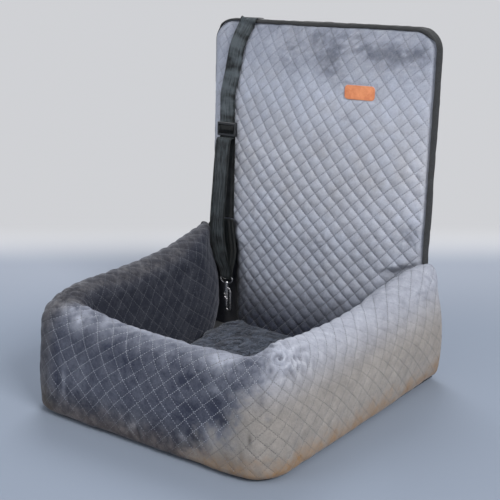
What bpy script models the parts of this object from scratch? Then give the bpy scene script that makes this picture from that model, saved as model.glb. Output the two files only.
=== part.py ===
"""Pet car seat: a quilted booster bed with a fold-down back panel and a safety tether.

Metres, +Z up, +X to the right as seen from the front, +Y to the back. The origin is on the
underside of the base, on the bed's middle line.
"""

import math

import bmesh
import bpy
from mathutils import Matrix, Vector

# Clearance between neighbouring pieces
GAP = 0.0003

# Base
BASE_THICKNESS = 0.004
BASE_INSET = 0.012
BASE_REAR_Y = 0.300
BASE_REAR_HALF = 0.262

# Bolster walls: inner faces, widths and heights
INNER_HALF_FRONT = 0.192
INNER_HALF_REAR = 0.204
INNER_FRONT_Y = -0.203
WALL_REAR_Y = 0.284
SIDE_WIDTH_FRONT = 0.089
SIDE_WIDTH_REAR = 0.108
FRONT_WIDTH = 0.097
CORNER_POWER = 3.3
CORNER_CORE = 0.013
FRONT_HEIGHT = 0.198
MITRE_HEIGHT = 0.209
CORNER_HEIGHT = 0.231
SIDE_HEIGHT = 0.218
REAR_HEIGHT = 0.248

# Rounding of each side wall's rear end, on the bed's side
REAR_ROUND_DEPTH = 0.150
REAR_ROUND_LENGTH = 0.156
REAR_ROUND_WIDTH = 0.085

# Section of a bolster
CREST_DROP = 0.046
OUTER_LEAN = 0.010
INNER_LEAN = 0.006
INNER_BULGE = 0.006
OUTER_FOOT_RADIUS = 0.018
INNER_FOOT_RADIUS = 0.012

# Quilting: half the diagonal of one diamond, and how far it puffs out
WALL_QUILT_STEP = 0.0187
PANEL_QUILT_STEP = 0.0177
QUILT_PUFF = 0.0045
COVER_THICKNESS = 0.004
CORE_SEGMENTS = 6

# Seat cushion
CUSHION_PLAY = 0.0005
CUSHION_CORNER = 0.068
CUSHION_DRAW_IN = 0.005
CUSHION_HEIGHT = 0.041
CUSHION_EDGE = 0.013
CUSHION_COVER = 0.0025
CUSHION_POINTS = 40
ZIP_LENGTH = 0.24
ZIP_WIDTH = 0.004

# Back panel, upright, before it leans back on its fold
PANEL_HALF = 0.265
PANEL_FRONT_Y = 0.2845
PANEL_TOP_Z = 0.709
PANEL_CORNER = 0.047
PANEL_CROWN = 0.022
PANEL_CROWN_POWER = 2.2
CROWN_EDGE_SHARE = 0.3
CROWN_RISE = 0.07
LOWER_CROWN_HALF = 0.198
QUILT_BACKING = 0.004
BOARD_THICKNESS = 0.018
REAR_CLOTH_THICKNESS = 0.002
BINDING_THICKNESS = 0.0016
BINDING_WIDTH = 0.0245

# Fold across the back panel, at the front of its crown
FOLD_Z = 0.2655
FOLD_Y = PANEL_FRONT_Y - PANEL_CROWN
LEAN = math.radians(2.5)
FOLD_RELIEF = math.radians(18.5)

# Label patch
LABEL_WIDTH = 0.067
LABEL_HEIGHT = 0.029
LABEL_THICKNESS = 0.0016
LABEL_CORNER = 0.006
LABEL_X = 0.1105
LABEL_Z = 0.5755

# Seat-belt loops on the back
BELT_LOOP_X = 0.15
BELT_LOOP_LOW_Z = 0.075
BELT_LOOP_HEIGHT = 0.120
BELT_LOOP_TAB = 0.018
BELT_LOOP_RISE = 0.009

# Tether webbing
WEBBING_WIDTH = 0.040
WEBBING_THICKNESS = 0.0016
BIGHT_WIDTH = 0.028
TETHER_TOP_X = -0.165
TETHER_X = -0.217
TETHER_LOW_X = -0.209
TETHER_BEND_Z = 0.545
TETHER_END_MARGIN = 0.001
TETHER_BOW_Y = 0.241
TETHER_BOW_Z = 0.365
BIGHT_CLEARANCE = 0.0005

# Tri-glide
GLIDE_Z = 0.4705
GLIDE_WIDTH = 0.049
GLIDE_HEIGHT = 0.031
GLIDE_DEPTH = 0.0085
GLIDE_RAIL = 0.0038
GLIDE_BAR = 0.0055
GLIDE_SLOT_CLEARANCE = 0.0004
GLIDE_EDGE = 0.0012

# Snap hook, measured down from the middle of its webbing bar
HOOK_BAR_Y = 0.256
HOOK_BAR_Z = 0.131
EYE_HALF_WIDTH = 0.0185
EYE_WIRE = 0.0019
COLLAR_TOP = 0.012
COLLAR_HEIGHT = 0.005
COLLAR_RADIUS = 0.005
STEM_RADIUS = 0.0021
STEM_CLEARANCE = 0.0003
HEAD_RADIUS = 0.0036
HEAD_HEIGHT = 0.0022
BARREL_RADIUS = 0.0046
BARREL_BOTTOM = 0.057
BORE_RADIUS = 0.0030
BORE_TOP = 0.021
BOLT_CLEARANCE = 0.0003
BOLT_TOP = 0.042
BOLT_TIP = 0.0700
KNOB_DEPTH = 0.048
KNOB_RADIUS = 0.0020
KNOB_REACH = 0.0085
TRIGGER_TRAVEL = 0.0085
SPINE_OFFSET = 0.011
SPINE_RADIUS = 0.0021
CURL_DEPTH = 0.074
SPRING_WIRE = 0.00035
SPRING_TURNS = 7
SPRING_POINTS_PER_TURN = 10
ROUND_SIDES = 20

COLOURS = {
    "quilted_velvet": ((0.235, 0.245, 0.275), 0.80, 0.0),
    "seat_velvet": ((0.105, 0.115, 0.135), 0.85, 0.0),
    "filling": ((0.82, 0.82, 0.80), 0.95, 0.0),
    "lining": ((0.030, 0.032, 0.036), 0.90, 0.0),
    "webbing": ((0.018, 0.020, 0.022), 0.62, 0.0),
    "binding": ((0.022, 0.024, 0.027), 0.75, 0.0),
    "label_leather": ((0.80, 0.33, 0.14), 0.50, 0.0),
    "glide_plastic": ((0.012, 0.013, 0.015), 0.25, 0.0),
    "chrome": ((0.75, 0.76, 0.78), 0.15, 1.0),
}

for old in list(bpy.data.objects):
    bpy.data.objects.remove(old, do_unlink=True)

part = bpy.data.collections.new("pet_car_seat")
cutters = bpy.data.collections.new("cutters")
bpy.context.scene.collection.children.link(part)
bpy.context.scene.collection.children.link(cutters)


def material(name):
    """The Principled material of this name, made on first use."""
    found = bpy.data.materials.get(name)
    if found:
        return found
    colour, roughness, metallic = COLOURS[name]
    made = bpy.data.materials.new(name)
    made.use_nodes = True
    shader = made.node_tree.nodes["Principled BSDF"]
    shader.inputs["Base Color"].default_value = (*colour, 1.0)
    shader.inputs["Roughness"].default_value = roughness
    shader.inputs["Metallic"].default_value = metallic
    made.diffuse_color = (*colour, 1.0)
    return made


def axis_empty(name, place, parent=None):
    """An empty on a joint's axis, for the pieces that turn or slide there."""
    empty = bpy.data.objects.new(name, None)
    empty.empty_display_size = 0.03
    part.objects.link(empty)
    empty.location = place
    if parent:
        empty.parent = parent
        empty.matrix_parent_inverse = Matrix.Translation(-Vector(parent["upright"]))
    empty["upright"] = Vector(place)
    return empty


def add_mesh(name, bm, slot, parent=None, smooth=None):
    """A part object from a bmesh that was modelled in upright world coordinates."""
    bmesh.ops.recalc_face_normals(bm, faces=bm.faces)
    mesh = bpy.data.meshes.new(name)
    bm.to_mesh(mesh)
    bm.free()
    mesh.materials.append(material(slot))
    if smooth is not None:
        mesh.shade_smooth()
        mesh.set_sharp_from_angle(angle=math.radians(smooth))
    obj = bpy.data.objects.new(name, mesh)
    part.objects.link(obj)
    if parent:
        obj.parent = parent
        obj.matrix_parent_inverse = Matrix.Translation(-Vector(parent["upright"]))
    return obj


def cutter(name, bm):
    """A hidden helper for a Boolean."""
    bmesh.ops.recalc_face_normals(bm, faces=bm.faces)
    mesh = bpy.data.meshes.new(name)
    bm.to_mesh(mesh)
    bm.free()
    obj = bpy.data.objects.new(name, mesh)
    cutters.objects.link(obj)
    obj.hide_render = True
    obj.display_type = "WIRE"
    return obj


def boolean(target, tool, operation="DIFFERENCE"):
    """Cuts or joins a helper, which then follows the piece that it shapes."""
    if target.parent:
        tool.parent = target.parent
        tool.matrix_parent_inverse = target.matrix_parent_inverse.copy()
    modifier = target.modifiers.new(tool.name, "BOOLEAN")
    modifier.operation = operation
    modifier.object = tool
    modifier.solver = "EXACT"


def box(low, high):
    """A box between two corners."""
    bm = bmesh.new()
    bmesh.ops.create_cube(bm, size=1.0)
    low, high = Vector(low), Vector(high)
    bmesh.ops.scale(bm, vec=high - low, verts=bm.verts)
    bmesh.ops.translate(bm, vec=(low + high) / 2, verts=bm.verts)
    return bm


def cylinder(radius, start, end, sides=ROUND_SIDES):
    """A closed cylinder from start to end."""
    start, end = Vector(start), Vector(end)
    along = end - start
    bm = bmesh.new()
    turn = along.to_track_quat("Z", "Y").to_matrix().to_4x4()
    bmesh.ops.create_cone(
        bm,
        cap_ends=True,
        segments=sides,
        radius1=radius,
        radius2=radius,
        depth=along.length,
        matrix=Matrix.Translation((start + end) / 2) @ turn,
    )
    return bm


def tube(name, points, radius, cyclic=False, resolution=2):
    """A round wire through points, as a closed mesh in a bmesh."""
    curve = bpy.data.curves.new(name, "CURVE")
    curve.dimensions = "3D"
    spline = curve.splines.new("POLY")
    spline.points.add(len(points) - 1)
    for point, place in zip(spline.points, points):
        point.co = (*place, 1.0)
    spline.use_cyclic_u = cyclic
    curve.bevel_depth = radius
    curve.bevel_resolution = resolution
    curve.use_fill_caps = not cyclic
    guide = bpy.data.objects.new(name, curve)
    bpy.context.scene.collection.objects.link(guide)
    graph = bpy.context.evaluated_depsgraph_get()
    mesh = bpy.data.meshes.new_from_object(guide.evaluated_get(graph))
    bm = bmesh.new()
    bm.from_mesh(mesh)
    bmesh.ops.remove_doubles(bm, verts=bm.verts, dist=0.000001)
    bpy.data.objects.remove(guide, do_unlink=True)
    bpy.data.meshes.remove(mesh)
    return bm


def prism_xz(outline, front, back):
    """A flat outline of (x, z) points, made solid between two planes of y."""
    bm = bmesh.new()
    face = bm.faces.new([bm.verts.new((x, front, z)) for x, z in outline])
    made = bmesh.ops.extrude_face_region(bm, geom=[face])
    moved = [item for item in made["geom"] if isinstance(item, bmesh.types.BMVert)]
    bmesh.ops.translate(bm, vec=(0, back - front, 0), verts=moved)
    return bm


def relieved_z(y):
    """The lowest that a piece of the upper panel reaches at this y, so that it can lean back."""
    return FOLD_Z + (y - FOLD_Y) * math.tan(FOLD_RELIEF)


def relieve_fold(bm):
    """Slopes the underside of a piece of the upper panel."""
    for vert in bm.verts:
        vert.co.z = max(vert.co.z, relieved_z(vert.co.y))


# Quilting


def quilt_faces(bm, grid):
    """Splits each cell of a grid of verts along its stitch line, so that four triangles make a diamond."""
    for i in range(len(grid) - 1):
        for j in range(len(grid[0]) - 1):
            near, side = grid[i][j], grid[i + 1][j]
            up, far = grid[i][j + 1], grid[i + 1][j + 1]
            if (i + j) % 2 == 0:
                bm.faces.new((near, side, up))
                bm.faces.new((side, far, up))
            else:
                bm.faces.new((near, side, far))
                bm.faces.new((near, far, up))


def loft(bm, rows):
    """Joins rows of verts, each as long as the next, with triangles that lean the same way."""
    for first, second in zip(rows, rows[1:]):
        for a, b, c, d in zip(first, first[1:], second[1:], second):
            bm.faces.new((a, b, c))
            bm.faces.new((a, c, d))


def is_puffed(i, j, rows, columns):
    """Whether this point of a quilting grid is the middle of a diamond, away from the sewn edges."""
    return (i + j) % 2 == 0 and 0 < i < rows and 0 < j < columns


# Bolster walls


def smooth_step(t):
    t = min(max(t, 0.0), 1.0)
    return t * t * (3 - 2 * t)


def blend(a, b, t):
    return a + (b - a) * t


def section_outline(width, height):
    """A bolster's section as close points (s, z), from its outer foot over the crest to its inner foot."""
    floor = BASE_THICKNESS + GAP
    shoulder = height - CREST_DROP
    foot, toe = OUTER_FOOT_RADIUS, INNER_FOOT_RADIUS
    outer, inner = width - OUTER_LEAN, INNER_LEAN
    points = []
    for k in range(8):
        angle = math.pi / 2 * k / 8
        points.append((width - foot + foot * math.sin(angle), floor + foot - foot * math.cos(angle)))
    for k in range(20):
        t = k / 20
        points.append((blend(width, outer, t * t), blend(floor + foot, shoulder, t)))
    for k in range(25):
        angle = math.pi * k / 24
        middle, reach = (outer + inner) / 2, (outer - inner) / 2
        points.append((middle + reach * math.cos(angle), shoulder + CREST_DROP * math.sin(angle)))
    for k in range(1, 20):
        t = k / 20
        bulge = INNER_BULGE * math.sin(math.pi * t)
        points.append((blend(inner, 0.0, t) - bulge, blend(shoulder, floor + toe, t)))
    for k in range(9):
        angle = math.pi / 2 * k / 8
        points.append((toe - toe * math.cos(angle), floor + toe - toe * math.sin(angle)))
    return [Vector(point) for point in points]


def inset_outline(points, inset):
    """The outline moved inwards by a layer's thickness."""
    moved = []
    for k, point in enumerate(points):
        along = points[min(k + 1, len(points) - 1)] - points[max(k - 1, 0)]
        along.normalize()
        moved.append(point + inset * Vector((-along.y, along.x)))
    return moved


def resample(points, count, inset=0.0):
    """count + 1 points at even distances along an outline, each moved inwards by a layer's thickness."""
    moved = inset_outline(points, inset)
    reach = [0.0]
    for a, b in zip(points, points[1:]):
        reach.append(reach[-1] + (b - a).length)
    found, k = [], 0
    for n in range(count + 1):
        target = reach[-1] * n / count
        while k < len(points) - 2 and reach[k + 1] < target:
            k += 1
        span = reach[k + 1] - reach[k]
        found.append(moved[k].lerp(moved[k + 1], (target - reach[k]) / span))
    return found


def side_station(y):
    """(start, direction, width, height) of the right wall's section at this y."""
    t = (y - INNER_FRONT_Y) / (WALL_REAR_Y - INNER_FRONT_Y)
    inner = blend(INNER_HALF_FRONT, INNER_HALF_REAR, t)
    width = blend(SIDE_WIDTH_FRONT, SIDE_WIDTH_REAR, t)
    past = max(y - (WALL_REAR_Y - REAR_ROUND_DEPTH), 0.0) / REAR_ROUND_LENGTH
    cut = REAR_ROUND_WIDTH * (1 - math.sqrt(1 - past * past))
    height = blend(CORNER_HEIGHT, SIDE_HEIGHT, smooth_step(t / 0.35))
    height = blend(height, REAR_HEIGHT, smooth_step((t - 0.55) / 0.45))
    return Vector((inner + cut, y)), Vector((1, 0)), width - cut, height


def corner_pivot():
    """The plan point that the sections of a corner turn about, inside the inner faces' meeting."""
    return Vector((INNER_HALF_FRONT - CORNER_CORE, INNER_FRONT_Y + CORNER_CORE))


def corner_station(angle):
    """The section at an angle round the front right corner: 0 faces right, a quarter turn faces front."""
    direction = Vector((math.cos(angle), -math.sin(angle)))
    across = direction.x / (SIDE_WIDTH_FRONT + CORNER_CORE)
    ahead = -direction.y / (FRONT_WIDTH + CORNER_CORE)
    reach = (across**CORNER_POWER + ahead**CORNER_POWER) ** (-1 / CORNER_POWER)
    start = corner_pivot() + CORNER_CORE * direction
    height = blend(CORNER_HEIGHT, MITRE_HEIGHT, smooth_step(angle / (math.pi / 2)))
    return start, direction, reach - CORNER_CORE, height


def front_station(x):
    """The section of the front wall at this x."""
    t = abs(x) / corner_pivot().x
    height = blend(FRONT_HEIGHT, MITRE_HEIGHT, smooth_step((t - 0.4) / 0.6))
    return Vector((x, INNER_FRONT_Y)), Vector((0, -1)), FRONT_WIDTH, height


def mirrored(station):
    """The same section on the left side."""
    start, direction, width, height = station
    return Vector((-start.x, start.y)), Vector((-direction.x, direction.y)), width, height


def corner_angles(count):
    """Angles that divide half of a corner's outer face evenly enough for the quilting."""
    return [math.pi / 4 * n / count for n in range(1, count + 1)]


def side_stations(cap=0.0):
    """Right wall's sections from its rear end, or from a cap's thickness inside it, to the mitre."""
    length = WALL_REAR_Y - corner_pivot().y
    count = round(length / WALL_QUILT_STEP)
    places = [WALL_REAR_Y - length * n / count for n in range(count + 1)]
    places[0] -= cap
    corner = round(SIDE_WIDTH_FRONT / WALL_QUILT_STEP)
    return [side_station(y) for y in places] + [corner_station(a) for a in corner_angles(corner)]


def front_stations():
    """The front wall's sections from its left mitre to its right one."""
    half = corner_pivot().x
    count = round(2 * half / WALL_QUILT_STEP)
    places = [half * (2 * n / count - 1) for n in range(count + 1)]
    corner = round(SIDE_WIDTH_FRONT / WALL_QUILT_STEP)
    turns = [math.pi / 2 - a for a in corner_angles(corner)]
    right = [corner_station(a) for a in turns]
    left = [mirrored(station) for station in reversed(right)]
    return left + [front_station(x) for x in places] + right


def place_point(station, point, shift):
    start, direction, _, _ = station
    plan = start + direction * point.x + Vector(shift)
    return Vector((plan.x, plan.y, point.y))


def quilt_columns():
    """Quilting steps round a bolster's section."""
    outline = section_outline(SIDE_WIDTH_FRONT, SIDE_HEIGHT)
    girth = sum((b - a).length for a, b in zip(outline, outline[1:]))
    return round(girth / WALL_QUILT_STEP)


def bolster_core(bm, stations, inset, shift):
    """Rings of verts under the cover, inset from the sections' outlines."""
    rings = []
    for station in stations:
        ring = resample(section_outline(station[2], station[3]), CORE_SEGMENTS, inset)
        rings.append([bm.verts.new(place_point(station, point, shift)) for point in ring])
    return rings


def bolster_cover(name, stations, core, shift, rear_cap):
    """A quilted shell, open below, with its edges turned under round the filling."""
    columns = quilt_columns()
    rows = len(stations) - 1
    bm = bmesh.new()
    outside = []
    inside = bolster_core(bm, core, COVER_THICKNESS, shift)
    for i, station in enumerate(stations):
        outline = section_outline(station[2], station[3])
        skin = resample(outline, columns)
        puffed = resample(outline, columns, -QUILT_PUFF)
        row = []
        for j in range(columns + 1):
            point = puffed[j] if is_puffed(i, j, rows, columns) else skin[j]
            row.append(bm.verts.new(place_point(station, point, shift)))
        outside.append(row)
    quilt_faces(bm, outside)
    loft(bm, inside)
    loft(bm, [[row[0] for row in outside], [row[0] for row in inside]])
    loft(bm, [[row[-1] for row in outside], [row[-1] for row in inside]])
    ends = [-1] if rear_cap else [0, -1]
    for end in ends:
        bm.faces.new(outside[end] + inside[end][::-1])
    if rear_cap:
        bm.faces.new(outside[0])
        bm.faces.new(inside[0])
        bm.faces.new((outside[0][0], outside[0][-1], inside[0][-1], inside[0][0]))
    return add_mesh(name, bm, "quilted_velvet")


def bolster_filling(name, core, shift, rear_cap):
    """The fibre filling, which just clears its cover."""
    bm = bmesh.new()
    rings = bolster_core(bm, core, COVER_THICKNESS + 2 * GAP, shift)
    if rear_cap:
        for vert, ahead in zip(rings[0], rings[1]):
            share = 2 * GAP / (vert.co.y - ahead.co.y)
            vert.co = vert.co.lerp(ahead.co, share)
    loft(bm, rings)
    loft(bm, [[ring[0] for ring in rings], [ring[-1] for ring in rings]])
    bm.faces.new(rings[0])
    bm.faces.new(rings[-1])
    return add_mesh(name, bm, "filling")


def build_bolsters():
    right, core = side_stations(), side_stations(COVER_THICKNESS)
    left, left_core = [mirrored(station) for station in right], [mirrored(s) for s in core]
    front = front_stations()
    mitre = (0, -2 * GAP)
    for side, stations, inner, shift, cap in (
        ("left", left, left_core, (0, 0), True),
        ("front", front, front, mitre, False),
        ("right", right, core, (0, 0), True),
    ):
        bolster_cover(f"{side}_bolster_cover", stations, inner, shift, cap)
        bolster_filling(f"{side}_bolster_filling", inner, shift, cap)


def build_base():
    """The flat base cloth under the whole bed."""
    right = side_stations()
    front = front_stations()
    edge = []
    for start, direction, width, _ in right:
        edge.append(start + direction * (width - BASE_INSET))
    for start, direction, width, _ in reversed(front):
        edge.append(start + direction * (width - BASE_INSET))
    for start, direction, width, _ in reversed(right):
        place = start + direction * (width - BASE_INSET)
        edge.append(Vector((-place.x, place.y)))
    edge += [Vector((-BASE_REAR_HALF, BASE_REAR_Y)), Vector((BASE_REAR_HALF, BASE_REAR_Y))]
    bm = bmesh.new()
    face = bm.faces.new([bm.verts.new((p.x, p.y, 0)) for p in edge])
    made = bmesh.ops.extrude_face_region(bm, geom=[face])
    moved = [item for item in made["geom"] if isinstance(item, bmesh.types.BMVert)]
    bmesh.ops.translate(bm, vec=(0, 0, BASE_THICKNESS), verts=moved)
    bmesh.ops.remove_doubles(bm, verts=bm.verts, dist=0.0001)
    add_mesh("base_panel", bm, "lining")


# Seat cushion


def cushion_ends():
    """The y of the cushion's front and rear edges: it lifts out past the quilting without rubbing."""
    front = INNER_FRONT_Y + INNER_BULGE + QUILT_PUFF + CUSHION_PLAY
    rear = PANEL_FRONT_Y - PANEL_CROWN - QUILT_PUFF - CUSHION_PLAY + 0.8 * CUSHION_DRAW_IN
    return front, rear


def flare(y):
    """The bed's inside widens evenly from front to back, and the cushion with it."""
    t = (y - INNER_FRONT_Y) / (WALL_REAR_Y - INNER_FRONT_Y)
    return blend(INNER_HALF_FRONT, INNER_HALF_REAR, t) / INNER_HALF_FRONT


def cushion_ring(inset, z):
    """A rounded rectangle whose straight sides pull in between its corners."""
    front, rear = cushion_ends()
    half = INNER_HALF_FRONT - INNER_BULGE - QUILT_PUFF - CUSHION_PLAY - inset
    middle = (front + rear) / 2
    depth = (rear - front) / 2 - inset
    corner = max(CUSHION_CORNER - inset, 0.004)
    ring = []
    per_corner = CUSHION_POINTS // 4
    for quarter in range(4):
        for n in range(per_corner):
            angle = math.pi / 2 * (quarter + n / (per_corner - 1))
            sign_x = 1 if quarter in (0, 3) else -1
            sign_y = 1 if quarter in (0, 1) else -1
            x = sign_x * (half - corner) + corner * math.cos(angle)
            y = sign_y * (depth - corner) + corner * math.sin(angle)
            ring.append(Vector((x, y + middle, z)))
        mid_side = ring[-1].copy()
        if quarter in (0, 2):
            mid_side.x = 0
            mid_side.y -= math.copysign(CUSHION_DRAW_IN, mid_side.y - middle)
        else:
            mid_side.y = middle
            mid_side.x -= math.copysign(CUSHION_DRAW_IN, mid_side.x)
        ring.append(mid_side)
    return [Vector((point.x * flare(point.y), point.y, point.z)) for point in ring]


def cushion_form(skin):
    """The cushion, crowned above and flat below, shrunk by the thickness of a skin."""
    floor = BASE_THICKNESS + GAP
    edge = CUSHION_EDGE
    top = CUSHION_HEIGHT
    profile = (
        (edge, floor + skin),
        (0.0 + skin, floor + edge),
        (0.0 + skin, top - 1.6 * edge),
        (0.35 * edge + skin, top - 0.9 * edge),
        (1.2 * edge + skin, top - 0.45 * edge - skin),
        (3.5 * edge, top - 0.15 * edge - skin),
        (8.0 * edge, top - skin),
    )
    bm = bmesh.new()
    rings = [[bm.verts.new(p) for p in cushion_ring(inset, z)] for inset, z in profile]
    loft(bm, [ring + ring[:1] for ring in rings])
    bm.faces.new(rings[0])
    bm.faces.new(rings[-1])
    return bm


def build_cushion(lift):
    cover = add_mesh("cushion_cover", cushion_form(0), "seat_velvet", lift)
    boolean(cover, cutter("cushion_hollow", cushion_form(CUSHION_COVER)))
    middle = BASE_THICKNESS + GAP + CUSHION_EDGE
    rear = cushion_ends()[1]
    slot = box(
        (-ZIP_LENGTH / 2, rear - CUSHION_DRAW_IN - 3 * CUSHION_COVER, middle),
        (ZIP_LENGTH / 2, rear + CUSHION_COVER, middle + ZIP_WIDTH),
    )
    boolean(cover, cutter("zip_opening", slot))
    add_mesh("cushion_filling", cushion_form(CUSHION_COVER + GAP), "filling", lift)


# Back panel


def upper_crown(x, z):
    """How far the upper panel's face stands forward of its edges."""
    across = 1 - min(abs(x) / (PANEL_HALF - BINDING_THICKNESS), 1.0) ** PANEL_CROWN_POWER
    down = blend(CROWN_EDGE_SHARE, 1.0, smooth_step((PANEL_TOP_Z - z) / CROWN_RISE))
    return PANEL_CROWN * across * down


def lower_crown(x, z):
    """The lower panel swells only between the side walls."""
    across = 1 - min(abs(x) / LOWER_CROWN_HALF, 1.0) ** PANEL_CROWN_POWER
    return PANEL_CROWN * across


def panel_columns():
    half = PANEL_HALF - BINDING_THICKNESS - GAP
    count = round(2 * half / PANEL_QUILT_STEP)
    return [half * (2 * n / count - 1) for n in range(count + 1)]


def lower_columns():
    """Quilted between the walls, with one plain flap behind each wall's end."""
    half = PANEL_HALF - BINDING_THICKNESS - GAP
    count = round(2 * LOWER_CROWN_HALF / PANEL_QUILT_STEP)
    inner = [LOWER_CROWN_HALF * (2 * n / count - 1) for n in range(count + 1)]
    return [-half] + inner + [half]


def rows_between(low, high):
    count = round((high - low) / PANEL_QUILT_STEP)
    return [low + (high - low) * n / count for n in range(count + 1)]


def under_label(x, z):
    near_x = abs(x - LABEL_X) < LABEL_WIDTH / 2 + PANEL_QUILT_STEP
    return near_x and abs(z - LABEL_Z) < LABEL_HEIGHT / 2 + PANEL_QUILT_STEP


def round_corner(x, z, half, top, radius):
    """Pulls a point outside the rounded top corner onto its arc."""
    over_x, over_z = abs(x) - (half - radius), z - (top - radius)
    if over_x <= 0 or over_z <= 0 or math.hypot(over_x, over_z) <= radius:
        return x, z
    share = radius / math.hypot(over_x, over_z)
    return math.copysign(half - radius + over_x * share, x), top - radius + over_z * share


def panel_quilt(name, columns, rows, crown, rounded, parent):
    """The quilted front of a panel with its loft behind it, flat at the back."""
    half = columns[-1]
    bm = bmesh.new()
    grid = []
    for i, x in enumerate(columns):
        line = []
        for j, z in enumerate(rows):
            puffed = is_puffed(i, j, len(columns) - 1, len(rows) - 1)
            flap = not rounded and abs(x) > LOWER_CROWN_HALF - 0.001
            puff = QUILT_PUFF if puffed and not flap and not under_label(x, z) else 0
            px, pz = x, z
            if rounded:
                px, pz = round_corner(x, z, half, rows[-1], PANEL_CORNER - BINDING_THICKNESS)
            line.append(bm.verts.new((px, PANEL_FRONT_Y - crown(x, z) - puff, pz)))
        grid.append(line)
    quilt_faces(bm, grid)
    border = [line[0] for line in grid] + grid[-1][1:]
    border += [line[-1] for line in grid[-2::-1]] + grid[0][-2:0:-1]
    back = [bm.verts.new((v.co.x, PANEL_FRONT_Y + QUILT_BACKING, v.co.z)) for v in border]
    loft(bm, [border + border[:1], back + back[:1]])
    bm.faces.new(back)
    if rounded:
        relieve_fold(bm)
    return add_mesh(name, bm, "quilted_velvet", parent)


def arch_outline(half, low, top, radius, steps=8):
    """An outline with a straight foot and two rounded top corners."""
    outline = [(-half, low), (half, low)]
    for side in (1, -1):
        for n in range(steps + 1):
            angle = math.pi / 2 * n / steps
            if side < 0:
                angle = math.pi / 2 - angle
            x = side * (half - radius + radius * math.cos(angle))
            outline.append((x, top - radius + radius * math.sin(angle)))
    return outline


def panel_layers():
    """(front, back) planes of the board and of the rear cloth."""
    board = PANEL_FRONT_Y + QUILT_BACKING + GAP
    cloth = board + BOARD_THICKNESS + GAP
    return (board, board + BOARD_THICKNESS), (cloth, cloth + REAR_CLOTH_THICKNESS)


def build_lower_panel():
    low, high = BASE_THICKNESS + GAP, FOLD_Z - GAP
    half = PANEL_HALF - BINDING_THICKNESS - GAP
    panel_quilt("back_lower_quilt", lower_columns(), rows_between(low, high), lower_crown, False, None)
    board, cloth = panel_layers()
    add_mesh("back_lower_board", box((-half, board[0], low), (half, board[1], high)), "filling")
    add_mesh("back_lower_rear_cloth", box((-half, cloth[0], low), (half, cloth[1], high)), "lining")
    front = PANEL_FRONT_Y + GAP
    for side, name in ((-1, "back_lower_left_binding"), (1, "back_lower_right_binding")):
        edges = sorted((side * (half + GAP), side * PANEL_HALF))
        bm = box((edges[0], front, low), (edges[1], front + BINDING_WIDTH, high))
        add_mesh(name, bm, "binding")


def build_upper_panel(fold):
    low = FOLD_Z + GAP
    thin = BINDING_THICKNESS + GAP
    half, top = PANEL_HALF - thin, PANEL_TOP_Z - thin
    radius = PANEL_CORNER - thin
    panel_quilt("back_upper_quilt", panel_columns(), rows_between(low, top), upper_crown, True, fold)
    outline = arch_outline(half, low, top, radius)
    board, cloth = panel_layers()
    for name, (front, back), slot in (
        ("back_upper_board", board, "filling"),
        ("back_upper_rear_cloth", cloth, "lining"),
    ):
        bm = prism_xz(outline, front, back)
        relieve_fold(bm)
        add_mesh(name, bm, slot, fold)
    outer = arch_outline(PANEL_HALF, low, PANEL_TOP_Z, PANEL_CORNER)
    inner = arch_outline(half + GAP, low, top + GAP, radius + GAP)
    front = PANEL_FRONT_Y + GAP
    band = prism_xz(outer[1:] + outer[:1] + inner[:1] + inner[:0:-1], front, front + BINDING_WIDTH)
    relieve_fold(band)
    add_mesh("back_upper_binding", band, "binding", fold)


def build_label(fold):
    """A thin rounded patch, tilted to lie along the panel's crown."""
    half_w, half_h = LABEL_WIDTH / 2, LABEL_HEIGHT / 2
    outline = []
    for quarter in range(4):
        for n in range(5):
            angle = math.pi / 2 * (quarter + n / 4)
            sign_x = 1 if quarter in (0, 3) else -1
            sign_z = 1 if quarter in (0, 1) else -1
            x = sign_x * (half_w - LABEL_CORNER) + LABEL_CORNER * math.cos(angle)
            outline.append((x, sign_z * (half_h - LABEL_CORNER) + LABEL_CORNER * math.sin(angle)))
    bm = prism_xz(outline, -LABEL_THICKNESS, 0)
    left, right = upper_crown(LABEL_X - half_w, LABEL_Z), upper_crown(LABEL_X + half_w, LABEL_Z)
    middle = upper_crown(LABEL_X, LABEL_Z)
    tilt = math.atan2(left - right, LABEL_WIDTH)
    lift = middle - (left + right) / 2
    y = PANEL_FRONT_Y - (left + right) / 2 - lift - 2 * GAP
    turn = Matrix.Translation((LABEL_X, y, LABEL_Z)) @ Matrix.Rotation(tilt, 4, "Z")
    bmesh.ops.transform(bm, matrix=turn, verts=bm.verts)
    add_mesh("label_patch", bm, "label_leather", fold)


# Webbing


def strap(name, path, parent=None):
    """Webbing along path, a list of (x, y, z, width): a strip one cell wide, thickened evenly."""
    bm = bmesh.new()
    rows = []
    for x, y, z, width in path:
        rows.append([bm.verts.new((x - width / 2, y, z)), bm.verts.new((x + width / 2, y, z))])
    loft(bm, rows)
    obj = add_mesh(name, bm, "webbing", parent)
    solidify = obj.modifiers.new("thickness", "SOLIDIFY")
    solidify.thickness = WEBBING_THICKNESS
    solidify.offset = 0
    solidify.use_even_offset = True
    return obj


def build_belt_loops():
    """Two webbing loops on the back, which the car's lap belt passes through."""
    skin = panel_layers()[1][1] + GAP + WEBBING_THICKNESS / 2
    low, tab = BELT_LOOP_LOW_Z, BELT_LOOP_TAB
    high = low + BELT_LOOP_HEIGHT
    rise = BELT_LOOP_RISE
    shape = (
        (skin, low),
        (skin, low + tab),
        (skin + 0.5 * rise, low + tab + 0.5 * rise),
        (skin + rise, low + tab + 1.4 * rise),
        (skin + rise, high - tab - 1.4 * rise),
        (skin + 0.5 * rise, high - tab - 0.5 * rise),
        (skin, high - tab),
        (skin, high),
    )
    for side, name in ((-1, "left_belt_loop"), (1, "right_belt_loop")):
        strap(name, [(side * BELT_LOOP_X, y, z, WEBBING_WIDTH) for y, z in shape])


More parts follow.
